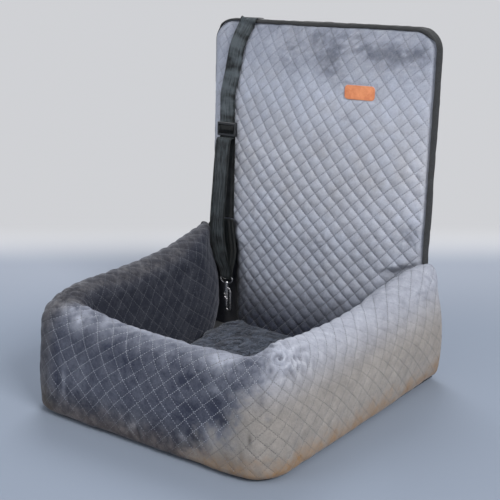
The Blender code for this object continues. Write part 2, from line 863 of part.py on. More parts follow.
def tether_x(z):
    """The upper strap slants from the panel's top edge, then hangs straight."""
    if z <= TETHER_BEND_Z:
        return TETHER_X
    share = (z - TETHER_BEND_Z) / (PANEL_TOP_Z - TETHER_BEND_Z)
    return blend(TETHER_X, TETHER_TOP_X, share**1.3)


def on_quilt(z):
    """The y of webbing that lies on the quilting, under the strap's edge that stands furthest forward."""
    edge = tether_x(z) + WEBBING_WIDTH / 2
    return PANEL_FRONT_Y - upper_crown(edge, z) - QUILT_PUFF - GAP - WEBBING_THICKNESS / 2


def glide_y():
    """The y of the webbing where it runs through the tri-glide, which stands just off the quilting."""
    return on_quilt(GLIDE_Z) + WEBBING_THICKNESS / 2 - GLIDE_DEPTH / 2


def fold_front_y():
    """The y of the front layer where it crosses the fold, just behind the fold's axis."""
    return FOLD_Y + WEBBING_THICKNESS / 2


def tether_upper_path():
    """From the end sewn to the panel's top edge, down through the tri-glide to the fold."""
    over = PANEL_TOP_Z + GAP + WEBBING_THICKNESS / 2
    sewn_end = PANEL_FRONT_Y + BINDING_WIDTH - TETHER_END_MARGIN
    front = on_quilt(PANEL_TOP_Z)
    path = [
        (TETHER_TOP_X + 0.004, sewn_end, over),
        (TETHER_TOP_X, front + 0.004, over),
        (TETHER_TOP_X - 0.001, front + 0.001, over - 0.002),
    ]
    straight_from = GLIDE_Z + GLIDE_HEIGHT / 2 + 0.056
    straight_to = GLIDE_Z - GLIDE_HEIGHT / 2 - 0.004
    steps = 8
    for n in range(1, steps):
        z = blend(PANEL_TOP_Z - 0.004, straight_from, n / steps)
        path.append((tether_x(z), blend(on_quilt(z), glide_y(), smooth_step((n - 4) / 4)), z))
    path += [(TETHER_X, glide_y(), straight_from), (TETHER_X, glide_y(), straight_to)]
    foot = relieved_z(fold_front_y() + WEBBING_THICKNESS / 2)
    bow_steps = 10
    for n in range(1, bow_steps + 1):
        z = blend(straight_to, foot, n / bow_steps)
        if z > TETHER_BOW_Z:
            t = (straight_to - z) / (straight_to - TETHER_BOW_Z)
            y = blend(glide_y(), TETHER_BOW_Y, smooth_step(t))
        else:
            t = (TETHER_BOW_Z - z) / (TETHER_BOW_Z - FOLD_Z)
            y = blend(TETHER_BOW_Y, fold_front_y(), smooth_step(t))
        path.append((TETHER_X, y, z))
    return [(*place, WEBBING_WIDTH) for place in path]


def tether_loop_path():
    """Below the fold: down to the hook's bar, round it and up again behind."""
    radius = EYE_WIRE + BIGHT_CLEARANCE + WEBBING_THICKNESS / 2
    start = FOLD_Z - GAP
    front_y, back_y = fold_front_y(), on_quilt(FOLD_Z)
    steps = 8
    down, up = [], []
    for n in range(steps):
        t = n / steps
        z = blend(start, HOOK_BAR_Z, t)
        x = blend(TETHER_X, TETHER_LOW_X, smooth_step(t * 1.6))
        width = blend(WEBBING_WIDTH, BIGHT_WIDTH, smooth_step((t - 0.55) / 0.45))
        down.append((x, blend(front_y, HOOK_BAR_Y - radius, smooth_step(t)), z, width))
        up.append((x, blend(back_y, HOOK_BAR_Y + radius, smooth_step(2 * t - 1)), z, width))
    turn = []
    for n in range(9):
        angle = math.pi * n / 8
        y = HOOK_BAR_Y - radius * math.cos(angle)
        turn.append((TETHER_LOW_X, y, HOOK_BAR_Z - radius * math.sin(angle), BIGHT_WIDTH))
    return down + turn + up[::-1]


def build_tether(fold, glide):
    strap("tether_upper_webbing", tether_upper_path(), fold)
    strap("tether_loop_webbing", tether_loop_path())
    top = GLIDE_Z - GLIDE_HEIGHT / 2 - 2 * GAP
    foot = relieved_z(on_quilt(FOLD_Z) + WEBBING_THICKNESS / 2) + GAP
    steps = 6
    levels = [blend(top, foot, n / steps) for n in range(steps + 1)]
    path = [(TETHER_X, on_quilt(FOLD_Z), z, WEBBING_WIDTH) for z in levels]
    strap("tether_back_webbing", path, glide)


def build_tri_glide(glide):
    """A slide whose outer bars lie before the webbing and whose middle bar lies behind it."""
    x, y, z = TETHER_X, glide_y(), GLIDE_Z
    half_w, half_h, half_d = GLIDE_WIDTH / 2, GLIDE_HEIGHT / 2, GLIDE_DEPTH / 2
    body = box((x - half_w, y - half_d, z - half_h), (x + half_w, y + half_d, z + half_h))
    obj = add_mesh("tri_glide", body, "glide_plastic", glide)
    bevel = obj.modifiers.new("edges", "BEVEL")
    bevel.width = GLIDE_EDGE
    bevel.segments = 2
    open_half = half_w - GLIDE_RAIL
    slot = WEBBING_THICKNESS / 2 + GLIDE_SLOT_CLEARANCE
    beyond = 0.002
    cuts = {
        "glide_channel": ((-open_half, -slot, -half_h - beyond), (open_half, slot, half_h + beyond)),
        "glide_window": (
            (-open_half, -half_d - beyond, -half_h + GLIDE_BAR),
            (open_half, 0, half_h - GLIDE_BAR),
        ),
        "glide_back_top": ((-open_half, 0, GLIDE_BAR / 2), (open_half, half_d + beyond, half_h + beyond)),
        "glide_back_low": (
            (-open_half, 0, -half_h - beyond),
            (open_half, half_d + beyond, -GLIDE_BAR / 2),
        ),
    }
    for name, (low, high) in cuts.items():
        bm = box(low, high)
        bmesh.ops.translate(bm, vec=(x, y, z), verts=bm.verts)
        boolean(obj, cutter(name, bm))


# Snap hook


def hook_point(across, depth, ahead=0.0):
    """A point of the hook, from its offset to the right of the bar's middle and its depth below it."""
    return Vector((TETHER_LOW_X + across, HOOK_BAR_Y - ahead, HOOK_BAR_Z - depth))


def build_hook_eye(swing):
    """The D-shaped eye with its swivel collar."""
    half = EYE_HALF_WIDTH - EYE_WIRE
    low = COLLAR_TOP + COLLAR_HEIGHT / 2
    corner = 0.003
    right = []
    for n in range(5):
        angle = math.pi / 2 * n / 4
        right.append((half - corner + corner * math.sin(angle), corner - corner * math.cos(angle)))
    for n in range(1, 7):
        angle = math.pi / 2 * n / 6
        right.append((half * math.cos(angle), corner + (low - corner) * math.sin(angle)))
    outline = right + [(-x, z) for x, z in reversed(right[:-1])]
    ring = [hook_point(x, z) for x, z in outline]
    bm = tube("eye_ring", ring, EYE_WIRE, cyclic=True)
    obj = add_mesh("hook_eye", bm, "chrome", swing, smooth=40)
    top, bottom = hook_point(0, COLLAR_TOP), hook_point(0, COLLAR_TOP + COLLAR_HEIGHT)
    boolean(obj, cutter("eye_collar", cylinder(COLLAR_RADIUS, bottom, top)), "UNION")
    reach = Vector((0, 0, 0.004))
    hole = cylinder(STEM_RADIUS + STEM_CLEARANCE, bottom - reach, top + reach)
    boolean(obj, cutter("eye_bore", hole))


def build_hook_body(swivel):
    """Barrel with its stem and riveted head, and the hook that curls under the bolt."""
    barrel_top = COLLAR_TOP + COLLAR_HEIGHT + STEM_CLEARANCE
    barrel = cylinder(BARREL_RADIUS, hook_point(0, BARREL_BOTTOM), hook_point(0, barrel_top))
    obj = add_mesh("hook_body", barrel, "chrome", swivel, smooth=40)
    head_low = COLLAR_TOP - STEM_CLEARANCE
    head_top = head_low - HEAD_HEIGHT
    stem = cylinder(STEM_RADIUS, hook_point(0, barrel_top + 0.002), hook_point(0, head_top + 0.0005))
    boolean(obj, cutter("hook_stem", stem), "UNION")
    head = cylinder(HEAD_RADIUS, hook_point(0, head_low), hook_point(0, head_top))
    boolean(obj, cutter("hook_head", head), "UNION")
    spine = [
        (BARREL_RADIUS * 0.5, barrel_top + 0.006),
        (SPINE_OFFSET * 0.75, barrel_top + 0.011),
        (SPINE_OFFSET, barrel_top + 0.018),
        (SPINE_OFFSET, CURL_DEPTH),
    ]
    radius = SPINE_OFFSET / 2
    for n in range(1, 9):
        angle = math.pi * n / 8
        spine.append((radius + radius * math.cos(angle), CURL_DEPTH + radius * math.sin(angle)))
    spine.append((0, BOLT_TIP + GAP + 0.0005))
    wire = tube("hook_spine", [hook_point(x, z) for x, z in spine], SPINE_RADIUS)
    boolean(obj, cutter("hook_curl", wire), "UNION")
    bore = cylinder(BORE_RADIUS, hook_point(0, BARREL_BOTTOM + 0.002), hook_point(0, BORE_TOP))
    boolean(obj, cutter("hook_bore", bore))
    slot_half = KNOB_RADIUS + 2 * BOLT_CLEARANCE
    low = hook_point(-slot_half, KNOB_DEPTH + slot_half, BARREL_RADIUS + 0.002)
    high = hook_point(slot_half, KNOB_DEPTH - TRIGGER_TRAVEL - slot_half, 0)
    boolean(obj, cutter("trigger_slot", box(low, high)))


def build_hook_trigger(trigger):
    """The sliding bolt and its thumb knob."""
    radius = BORE_RADIUS - BOLT_CLEARANCE
    bolt = cylinder(radius, hook_point(0, BOLT_TIP), hook_point(0, BOLT_TOP))
    obj = add_mesh("hook_trigger", bolt, "chrome", trigger, smooth=40)
    knob = cylinder(KNOB_RADIUS, hook_point(0, KNOB_DEPTH), hook_point(0, KNOB_DEPTH, KNOB_REACH), 14)
    boolean(obj, cutter("thumb_knob", knob), "UNION")


def build_hook_spring(swivel):
    """The return spring above the bolt, in one unbroken coil."""
    radius = BORE_RADIUS - BOLT_CLEARANCE - 2 * SPRING_WIRE
    top, bottom = BORE_TOP + GAP + SPRING_WIRE, BOLT_TOP - GAP - SPRING_WIRE
    count = SPRING_TURNS * SPRING_POINTS_PER_TURN
    points = []
    for n in range(count + 1):
        angle = 2 * math.pi * n / SPRING_POINTS_PER_TURN
        centre = hook_point(0, blend(top, bottom, n / count))
        points.append(centre + radius * Vector((math.cos(angle), math.sin(angle), 0)))
    add_mesh("hook_spring", tube("spring_coil", points, SPRING_WIRE, resolution=1), "chrome", swivel, 60)
    print("spring's gap between turns", (bottom - top) / SPRING_TURNS - 2 * SPRING_WIRE)


def main():
    build_base()
    build_bolsters()
    lift = axis_empty("cushion_lift_axis", (0, 0, BASE_THICKNESS + GAP))
    build_cushion(lift)
    build_lower_panel()
    build_belt_loops()
    fold = axis_empty("back_fold_axis", (0, FOLD_Y, FOLD_Z))
    glide = axis_empty("tri_glide_axis", (TETHER_X, glide_y(), GLIDE_Z), fold)
    build_upper_panel(fold)
    build_label(fold)
    build_tether(fold, glide)
    build_tri_glide(glide)
    fold.rotation_euler.x = -LEAN
    swing = axis_empty("hook_swing_axis", hook_point(0, 0))
    swivel = axis_empty("hook_swivel_axis", hook_point(0, COLLAR_TOP), swing)
    trigger = axis_empty("hook_trigger_axis", hook_point(0, BOLT_TIP), swivel)
    build_hook_eye(swing)
    build_hook_body(swivel)
    build_hook_spring(swivel)
    build_hook_trigger(trigger)


main()
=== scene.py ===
import math
from functools import partialmethod

import bmesh
import bpy
import numpy as np
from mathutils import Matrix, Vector


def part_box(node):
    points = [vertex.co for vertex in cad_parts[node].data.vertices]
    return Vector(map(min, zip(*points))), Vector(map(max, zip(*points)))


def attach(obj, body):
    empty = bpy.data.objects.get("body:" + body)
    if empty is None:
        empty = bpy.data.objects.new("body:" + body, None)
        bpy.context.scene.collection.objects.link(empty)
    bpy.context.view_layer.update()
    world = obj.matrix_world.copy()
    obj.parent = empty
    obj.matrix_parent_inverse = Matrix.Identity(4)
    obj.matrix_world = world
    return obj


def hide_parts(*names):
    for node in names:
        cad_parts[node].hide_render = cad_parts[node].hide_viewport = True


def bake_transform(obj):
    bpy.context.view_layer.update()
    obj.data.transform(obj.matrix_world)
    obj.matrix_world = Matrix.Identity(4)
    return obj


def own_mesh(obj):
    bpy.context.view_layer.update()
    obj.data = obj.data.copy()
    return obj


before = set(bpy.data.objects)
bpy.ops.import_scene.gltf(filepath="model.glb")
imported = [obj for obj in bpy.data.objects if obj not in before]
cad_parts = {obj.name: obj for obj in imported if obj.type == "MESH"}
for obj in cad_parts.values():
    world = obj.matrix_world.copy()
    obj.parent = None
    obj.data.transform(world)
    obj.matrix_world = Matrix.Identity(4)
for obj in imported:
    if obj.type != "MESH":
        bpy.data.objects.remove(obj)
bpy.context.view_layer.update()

# Sizes of the source, in metres
GAP = 0.0003
BASE_THICKNESS = 0.004
FLOOR = BASE_THICKNESS + GAP
BASE_REAR_Y, BASE_REAR_HALF, BASE_INSET = 0.300, 0.262, 0.012
INNER_HALF_FRONT, INNER_HALF_REAR = 0.192, 0.204
INNER_FRONT_Y, WALL_REAR_Y = -0.203, 0.284
SIDE_WIDTH_FRONT, SIDE_WIDTH_REAR, FRONT_WIDTH = 0.089, 0.108, 0.097
CORNER_POWER, CORNER_CORE = 3.3, 0.013
FRONT_HEIGHT, MITRE_HEIGHT, CORNER_HEIGHT = 0.198, 0.209, 0.231
SIDE_HEIGHT, REAR_HEIGHT = 0.218, 0.248
REAR_ROUND_DEPTH, REAR_ROUND_LENGTH, REAR_ROUND_WIDTH = 0.150, 0.156, 0.085
CREST_DROP, OUTER_LEAN, INNER_LEAN, INNER_BULGE = 0.046, 0.010, 0.006, 0.006
OUTER_FOOT_RADIUS, INNER_FOOT_RADIUS = 0.014, 0.012
QUILT_PUFF = 0.0045
CUSHION_PLAY, CUSHION_CORNER, CUSHION_REAR_CORNER, CUSHION_DRAW_IN = 0.0005, 0.036, 0.012, 0.003
CUSHION_HEIGHT, CUSHION_EDGE = 0.041, 0.013
PANEL_HALF, PANEL_FRONT_Y, PANEL_TOP_Z, PANEL_CORNER = 0.265, 0.2845, 0.709, 0.047
PANEL_CROWN, PANEL_CROWN_POWER, CROWN_EDGE_SHARE, CROWN_RISE = 0.022, 2.2, 0.3, 0.07
QUILT_BACKING, BOARD_THICKNESS = 0.004, 0.018
REAR_CLOTH_THICKNESS, BINDING_THICKNESS, BINDING_WIDTH = 0.002, 0.0016, 0.0245
PAD_HALF, PAD_TOP_Z = PANEL_HALF - BINDING_THICKNESS - GAP, PANEL_TOP_Z - BINDING_THICKNESS - GAP
PAD_CORNER = PANEL_CORNER - BINDING_THICKNESS
REAR_CLOTH_RIPPLE = 0.0008
FOLD_Z = 0.2655
FOLD_Y = PANEL_FRONT_Y - PANEL_CROWN
FOLD_HALF = 0.012
LEAN = math.radians(2.5)
LABEL_WIDTH, LABEL_HEIGHT, LABEL_CORNER, LABEL_X, LABEL_Z = 0.067, 0.029, 0.006, 0.1105, 0.5755
WEBBING_WIDTH, WEBBING_THICKNESS, BIGHT_WIDTH = 0.040, 0.0016, 0.028
TETHER_X, TETHER_LOW_X = -0.217, -0.209
GLIDE_Z, GLIDE_HEIGHT, GLIDE_DEPTH = 0.4705, 0.031, 0.0085
HOOK_BAR_Y, HOOK_BAR_Z, EYE_WIRE = 0.256, 0.131, 0.0019
QUILT_DIAGONAL = 0.0354
SPRING_WIRE, SPRING_TURNS = 0.00035, 7
LOOP_X, LOOP_LOW_Z, LOOP_HEIGHT, LOOP_TAB, LOOP_RISE = 0.15, 0.075, 0.120, 0.018, 0.0082


# Numbers


def smooth(t):
    t = np.clip(t, 0.0, 1.0)
    return t * t * (3 - 2 * t)


def ramp(x, start, length):
    """Smoothly from 0 at the start to 1 at the end of this length, which runs back where it is negative."""
    return smooth((x - start) / length)


def bell(x, width, at=0.0):
    """1 at this place, falling away to both sides."""
    return np.exp(-(((x - at) / width) ** 2))


def mix(a, b, t):
    return a + (b - a) * t


def reach_along(line):
    """How far along a line each of its points lies."""
    return np.concatenate([[0], np.cumsum(np.linalg.norm(np.diff(line, axis=0), axis=1))])


def unit(vectors):
    return vectors / np.linalg.norm(vectors, axis=-1, keepdims=True)


def lattice(ix, iy, iz, seed):
    h = (ix * 374761393 + iy * 668265263 + iz * 1442695041 + seed * 974634777) & 0xFFFFFFFF
    h = ((h ^ (h >> 13)) * 1274126177) & 0xFFFFFFFF
    return ((h ^ (h >> 16)) & 0xFFFF) / 32767.5 - 1


def noise(points, size, seed=0):
    """Smooth value noise from -1 to 1 at points of shape (..., 3), with cells of this size."""
    q = np.asarray(points, float) / np.asarray(size, float)
    cell = np.floor(q).astype(np.int64)
    t = q - cell
    t = t * t * t * (t * (t * 6 - 15) + 10)
    total = 0.0
    for dx in (0, 1):
        for dy in (0, 1):
            for dz in (0, 1):
                weight = (t[..., 0] if dx else 1 - t[..., 0]) * (t[..., 1] if dy else 1 - t[..., 1])
                weight = weight * (t[..., 2] if dz else 1 - t[..., 2])
                total = total + weight * lattice(cell[..., 0] + dx, cell[..., 1] + dy, cell[..., 2] + dz, seed)
    return total


def layered(points, *layers):
    """Several noises added up. Each layer is the size of its cells, its seed and its weight."""
    return sum(noise(points, size, seed) * weight for size, seed, weight in layers)


def pile3(a, b, c=0.0):
    """Points for the noise from coordinates that may be arrays of one shape."""
    a, b, c = np.broadcast_arrays(a, b, c)
    return np.stack([a, b, c], axis=-1)


def grid_normals(points):
    """Unit normals of a grid of points, along the cross of its two directions."""
    n = np.cross(np.gradient(points, axis=0), np.gradient(points, axis=1))
    return n / np.maximum(np.linalg.norm(n, axis=-1, keepdims=True), 1e-12)


def quilt_height(u, v, sharp=0.5, sharp_b=None):
    """Height from 0 at the stitch lines to 1 in the middle of each diamond."""
    a, b = (u + v) / QUILT_DIAGONAL, (u - v) / QUILT_DIAGONAL
    return np.abs(np.sin(math.pi * a)) ** sharp * np.abs(np.sin(math.pi * b)) ** (sharp if sharp_b is None else sharp_b)


# Meshes


def mesh_object(name, verts, faces, uvs=None, finish=None):
    mesh = bpy.data.meshes.new(name)
    mesh.from_pydata([tuple(v) for v in np.asarray(verts, float).tolist()], [], [tuple(f) for f in faces])
    if uvs is not None:
        layer = mesh.uv_layers.new(name="fabric")
        loops = np.zeros(len(mesh.loops), np.int32)
        mesh.loops.foreach_get("vertex_index", loops)
        layer.data.foreach_set("uv", np.asarray(uvs, np.float32)[loops].reshape(-1))
    for key, values in (finish or {}).items():
        attribute = mesh.attributes.new(key, "FLOAT", "POINT")
        attribute.data.foreach_set("value", np.asarray(values, np.float32).reshape(-1))
    shell = bmesh.new()
    shell.from_mesh(mesh)
    bmesh.ops.recalc_face_normals(shell, faces=shell.faces)
    shell.to_mesh(mesh)
    shell.free()
    mesh.shade_smooth()
    obj = bpy.data.objects.new(name, mesh)
    bpy.context.scene.collection.objects.link(obj)
    return obj


def grid_faces(rows, columns, start=0):
    """Quads of a grid of rows x columns verts."""
    index = np.arange(rows * columns).reshape(rows, columns) + start
    quads = np.stack([index[:-1, :-1], index[1:, :-1], index[1:, 1:], index[:-1, 1:]], axis=-1)
    return quads.reshape(-1, 4).tolist()


def tube_mesh(name, points, uvs, finish=None, turned=False):
    """A closed piece from a grid of points, whose rows are rings round it. The first ring and the last are capped."""
    shape = points.shape[:2]
    index = np.arange(shape[0] * shape[1]).reshape(shape)
    last, first = index[:, -1], index[:, 0]
    faces = grid_faces(*shape) + np.stack([last[:-1], last[1:], first[1:], first[:-1]], 1).tolist()
    for cap in (index[0], index[-1][::-1]):
        faces.append((cap[::-1] if turned else cap).tolist())
    uvs = None if uvs is None else uvs.reshape(-1, 2)
    return mesh_object(name, points.reshape(-1, 3), faces, uvs, finish)


def slab_mesh(name, front, back, flat, finish=None):
    """A closed piece from two grids of points, one behind the other, joined along their rims."""
    rows, columns = front.shape[:2]
    n = rows * columns
    faces = grid_faces(rows, columns)
    faces += [face[::-1] for face in grid_faces(rows, columns, start=n)]
    index = np.arange(n).reshape(rows, columns)
    rim = np.concatenate([index[:, 0], index[-1, 1:], index[-2::-1, -1], index[0, -2:0:-1]]).tolist()
    faces += [[b, a, a + n, b + n] for a, b in zip(rim, rim[1:] + rim[:1])]
    uvs = np.concatenate([np.stack(flat, -1).reshape(-1, 2)] * 2)
    finish = {key: np.concatenate([values.reshape(-1)] * 2) for key, values in (finish or {}).items()}
    return mesh_object(name, np.concatenate([front.reshape(-1, 3), back.reshape(-1, 3)]), faces, uvs, finish)


def lean(points):
    """The upper panel's pieces are laid out upright, and lean back about the fold, over a soft bend."""
    points = np.array(points, float)
    y, z = points[..., 1] - FOLD_Y, points[..., 2] - FOLD_Z
    angle = -LEAN * ramp(z, -FOLD_HALF, 2 * FOLD_HALF)
    turned = points.copy()
    turned[..., 1] = FOLD_Y + y * np.cos(angle) - z * np.sin(angle)
    turned[..., 2] = FOLD_Z + y * np.sin(angle) + z * np.cos(angle)
    return np.where((points[..., 2] > FOLD_Z - FOLD_HALF)[..., None], turned, points)


# Walls

WALL_STEP, WALL_GIRTH, END_ROLL = 0.0026, 0.50, 0.011


def section_outline(width, height):
    """A wall's section as close points (s, z), from its outer foot over the crest to its inner foot."""
    shoulder = height - CREST_DROP
    foot, toe = OUTER_FOOT_RADIUS, INNER_FOOT_RADIUS
    outer, inner = width - OUTER_LEAN, INNER_LEAN
    t = np.arange(8) / 8 * math.pi / 2
    parts = [(width - foot + foot * np.sin(t), FLOOR + foot - foot * np.cos(t))]
    t = np.arange(20) / 20
    parts.append((mix(width, outer, t * t), mix(FLOOR + foot, shoulder, t)))
    t = math.pi * np.arange(49) / 48
    middle, reach = (outer + inner) / 2, (outer - inner) / 2
    parts.append((middle + reach * np.cos(t), shoulder + CREST_DROP * np.sin(t)))
    t = np.arange(1, 20) / 20
    parts.append((mix(inner, 0.0, t) - INNER_BULGE * np.sin(math.pi * t), mix(shoulder, FLOOR + toe, t)))
    t = np.arange(9) / 8 * math.pi / 2
    parts.append((toe - toe * np.cos(t), FLOOR + toe - toe * np.sin(t)))
    return np.concatenate([np.stack(part, 1) for part in parts])


def along_side(y):
    """0 at the front bolster's inner face, 1 at the walls' rear ends."""
    return (y - INNER_FRONT_Y) / (WALL_REAR_Y - INNER_FRONT_Y)


def side_station(y):
    t = along_side(y)
    inner = mix(INNER_HALF_FRONT, INNER_HALF_REAR, t)
    width = mix(SIDE_WIDTH_FRONT, SIDE_WIDTH_REAR, t)
    past = max(y - (WALL_REAR_Y - REAR_ROUND_DEPTH), 0.0) / REAR_ROUND_LENGTH
    cut = REAR_ROUND_WIDTH * (1 - math.sqrt(1 - past * past))
    height = mix(CORNER_HEIGHT, SIDE_HEIGHT, smooth(t / 0.35))
    height = mix(height, REAR_HEIGHT, ramp(t, 0.55, 0.45))
    return inner + cut, y, 1.0, 0.0, width - cut, height


def corner_station(angle):
    dx, dy = math.cos(angle), -math.sin(angle)
    across = dx / (SIDE_WIDTH_FRONT + CORNER_CORE)
    ahead = -dy / (FRONT_WIDTH + CORNER_CORE)
    reach = (max(across, 0) ** CORNER_POWER + max(ahead, 0) ** CORNER_POWER) ** (-1 / CORNER_POWER)
    px, py = INNER_HALF_FRONT - CORNER_CORE, INNER_FRONT_Y + CORNER_CORE
    height = mix(CORNER_HEIGHT, MITRE_HEIGHT, smooth(angle / (math.pi / 2)))
    return px + CORNER_CORE * dx, py + CORNER_CORE * dy, dx, dy, reach - CORNER_CORE, height


def front_station(x):
    t = abs(x) / (INNER_HALF_FRONT - CORNER_CORE)
    height = mix(FRONT_HEIGHT, MITRE_HEIGHT, ramp(t, 0.4, 0.6))
    return x, INNER_FRONT_Y, 0.0, -1.0, FRONT_WIDTH, height


def wall_stations(step):
    """Sections at even steps of the outer face, from the right wall's rear round the front to the left one's."""
    pivot_y = INNER_FRONT_Y + CORNER_CORE
    half = INNER_HALF_FRONT - CORNER_CORE
    rows = [side_station(y) for y in np.linspace(WALL_REAR_Y, pivot_y, 200)]
    rows += [corner_station(a) for a in np.linspace(0, math.pi / 2, 160)[1:-1]]
    right = rows + [front_station(x) for x in np.linspace(half, 0, 90)]
    left = [(-x, y, -dx, dy, w, h) for x, y, dx, dy, w, h in right[-2::-1]]
    fine = np.array(right + left)
    outer = fine[:, :2] + fine[:, 2:4] * fine[:, 4:5]
    reach = reach_along(outer)
    count = int(round(reach[-1] / step))
    u = np.linspace(0, reach[-1], count + 1)
    table = np.stack([np.interp(u, reach, fine[:, k]) for k in range(6)], 1)
    table[:, 2:4] = unit(table[:, 2:4])
    return u, table


def wall_skin():
    """(points, u, v) of the walls' smooth outer skin: rows along the walls, columns over their section."""
    u, table = wall_stations(WALL_STEP)
    girth_steps = int(round(WALL_GIRTH / WALL_STEP))
    points = np.zeros((len(u), girth_steps + 1, 3))
    v = np.zeros((len(u), girth_steps + 1))
    for i, (x, y, dx, dy, width, height) in enumerate(table):
        outline = section_outline(width, height)
        reach = reach_along(outline)
        at = np.linspace(0, reach[-1], girth_steps + 1)
        s, z = np.interp(at, reach, outline[:, 0]), np.interp(at, reach, outline[:, 1])
        points[i, :, 0], points[i, :, 1], points[i, :, 2] = x + dx * s, y + dy * s, z
        v[i] = at
    return points, np.broadcast_to(u[:, None], v.shape), v


# Where the cover is drawn together at the front right corner, along and over the walls, and how its folds are squeezed
FR_PINCH, PINCH_SQUEEZE = (0.526, 0.229), 0.62
# How fast the quilting is drawn along the walls as it rises, on the right wall, and the heights over the walls
DRAW_V = (0.0, 0.075, 0.105, 0.13, 0.15, 0.195, 0.21, 0.225, 0.24, 0.26, 0.30, 0.52)
DRAW = (-0.08, -0.15, 0.20, 0.60, 0.88, 0.90, 0.40, 0.0, -0.25, -0.35, 0.0, 0.0)

# How far the crest sags, at places counted from the right wall's rear and then from the left wall's
SAG_FROM_RIGHT, SAG_FROM_LEFT = (0.0, 0.12, 0.25, 0.45, 0.53, 0.65, 0.75, 0.85, 0.95), (0.50, 0.36, 0.20, 0.06, 0.0)
SAG = (0.002, 0.010, 0.014, 0.014, 0.012, 0.009, 0.004, 0.0, -0.002, -0.001, -0.009, -0.011, -0.003, 0.0)

# Patches where the nap is brushed dark or light, and painted sheen highlights along the crest: along, over, radius
# along, radius over in mm, change of tone
WALL_SMUDGES = [
    (700, 62, 20, 14, -0.16), (717, 60, 12, 10, -0.10), (803, 45, 26, 12, -0.08), (720, 112, 22, 8, -0.08),
    (647, 108, 18, 10, -0.22), (664, 134, 12, 14, -0.16), (577, 158, 9, 16, -0.26), (595, 85, 3.2, 11, -0.42),
    (627, 14, 6, 20, -0.42), (610, 50, 5, 20, -0.20), (640, 40, 14, 10, -0.18), (560, 120, 10, 8, -0.12),
    (730, 55, 13, 12, 0.20), (672, 74, 14, 17, 0.26), (843, 44, 13, 11, 0.26), (657, 165, 22, 12, 0.16),
    (990, 216, 14, 26, 0.24), (677, 212, 18, 13, 0.26), (727, 130, 16, 10, 0.08), (1012, 78, 4, 30, 0.22),
    (973, 115, 22, 20, 0.07), (760, 230, 30, 10, 0.12), (880, 228, 40, 10, 0.12), (1060, 228, 30, 16, 0.16),
    (504, 58, 8, 12, -0.12), (470, 60, 20, 20, -0.05), (120, 100, 30, 20, -0.08), (506, 226, 7, 8, -0.55),
    (555, 226, 6, 16, -0.38), (545, 192, 20, 6, 0.14), (480, 200, 18, 12, 0.10), (300, 150, 50, 20, -0.06),
    (420, 120, 30, 30, -0.07), (1035, 120, 12, 50, -0.06), (930, 50, 30, 12, -0.05), (860, 110, 40, 12, 0.05),
]

# Wrinkles of the walls: along, over in mm, direction in degrees, half length, half width and depth in mm
WALL_CREASES = [
    (1030, 85, 88, 40, 4.0, -2.2), (1016, 78, 94, 34, 3.6, 1.7), (1046, 95, 84, 38, 4.5, 1.6),
    (1062, 70, 96, 30, 4.0, -1.6), (1090, 110, 82, 45, 5.0, -1.8), (1004, 60, 80, 24, 3.4, -1.3),
    (1030, 236, 24, 46, 4.2, -2.4), (1000, 246, 18, 40, 3.6, 1.9), (1052, 222, 32, 40, 4.4, 1.7),
    (1085, 238, 42, 34, 4.0, -2.0), (975, 228, 16, 34, 3.8, -1.5), (930, 243, 8, 30, 3.4, 1.2),
    (838, 42, 62, 18, 3.0, -2.2), (826, 40, 74, 17, 2.8, 1.6), (850, 32, 48, 16, 3.0, 1.4),
    (812, 34, 98, 15, 2.8, -1.2), (790, 24, 70, 14, 2.6, -1.0), (642, 210, 45, 13, 2.6, -2.4),
    (651, 204, 57, 14, 2.6, 1.8), (631, 214, 32, 12, 2.4, 1.6), (665, 215, 64, 12, 2.6, -1.2),
    (610, 200, 30, 16, 3.0, -1.2), (68, 212, 10, 24, 2.4, -1.8), (76, 224, -6, 22, 2.2, 1.3),
    (60, 196, 16, 20, 2.4, -1.3), (100, 236, 4, 24, 2.4, -1.3), (42, 180, 24, 18, 2.4, 1.1),
    (36, 236, 64, 16, 3.0, -2.0), (24, 226, 74, 18, 2.6, 1.4), (160, 243, -8, 26, 3.0, -1.0),
    (230, 236, 12, 24, 3.4, 1.0), (310, 228, 30, 20, 3.0, -1.2), (350, 216, 50, 18, 3.0, 1.2),
    (392, 206, 62, 20, 3.0, -1.2), (497, 214, 84, 15, 2.2, -3.0), (491, 212, 86, 15, 2.2, 1.9),
    (484, 207, 88, 17, 2.2, -2.8), (478, 206, 90, 17, 2.2, 1.8), (470, 201, 92, 18, 2.2, -2.4),
    (463, 199, 94, 18, 2.2, 1.6), (455, 195, 96, 18, 2.2, -2.0), (447, 194, 97, 17, 2.2, 1.3),
    (438, 190, 99, 16, 2.3, -1.7), (420, 186, 102, 16, 2.4, -1.3), (503, 198, 60, 12, 2.2, -2.2),
    (512, 190, 48, 12, 2.4, -1.8), (528, 198, 10, 12, 2.2, -2.0), (543, 203, 150, 12, 2.4, -1.8),
    (552, 220, 110, 14, 2.4, -2.6), (560, 226, 104, 15, 2.4, 1.6), (568, 222, 100, 15, 2.4, -1.8),
    (580, 214, 96, 14, 2.6, -1.2), (560, 60, 70, 26, 5.0, -1.0), (520, 40, 100, 24, 5.0, 0.9),
    (700, 45, 60, 24, 4.0, -1.2), (735, 70, 110, 22, 4.0, 1.0), (400, 45, 80, 22, 4.0, -0.8),
    (250, 40, 96, 22, 4.0, 0.8),
]


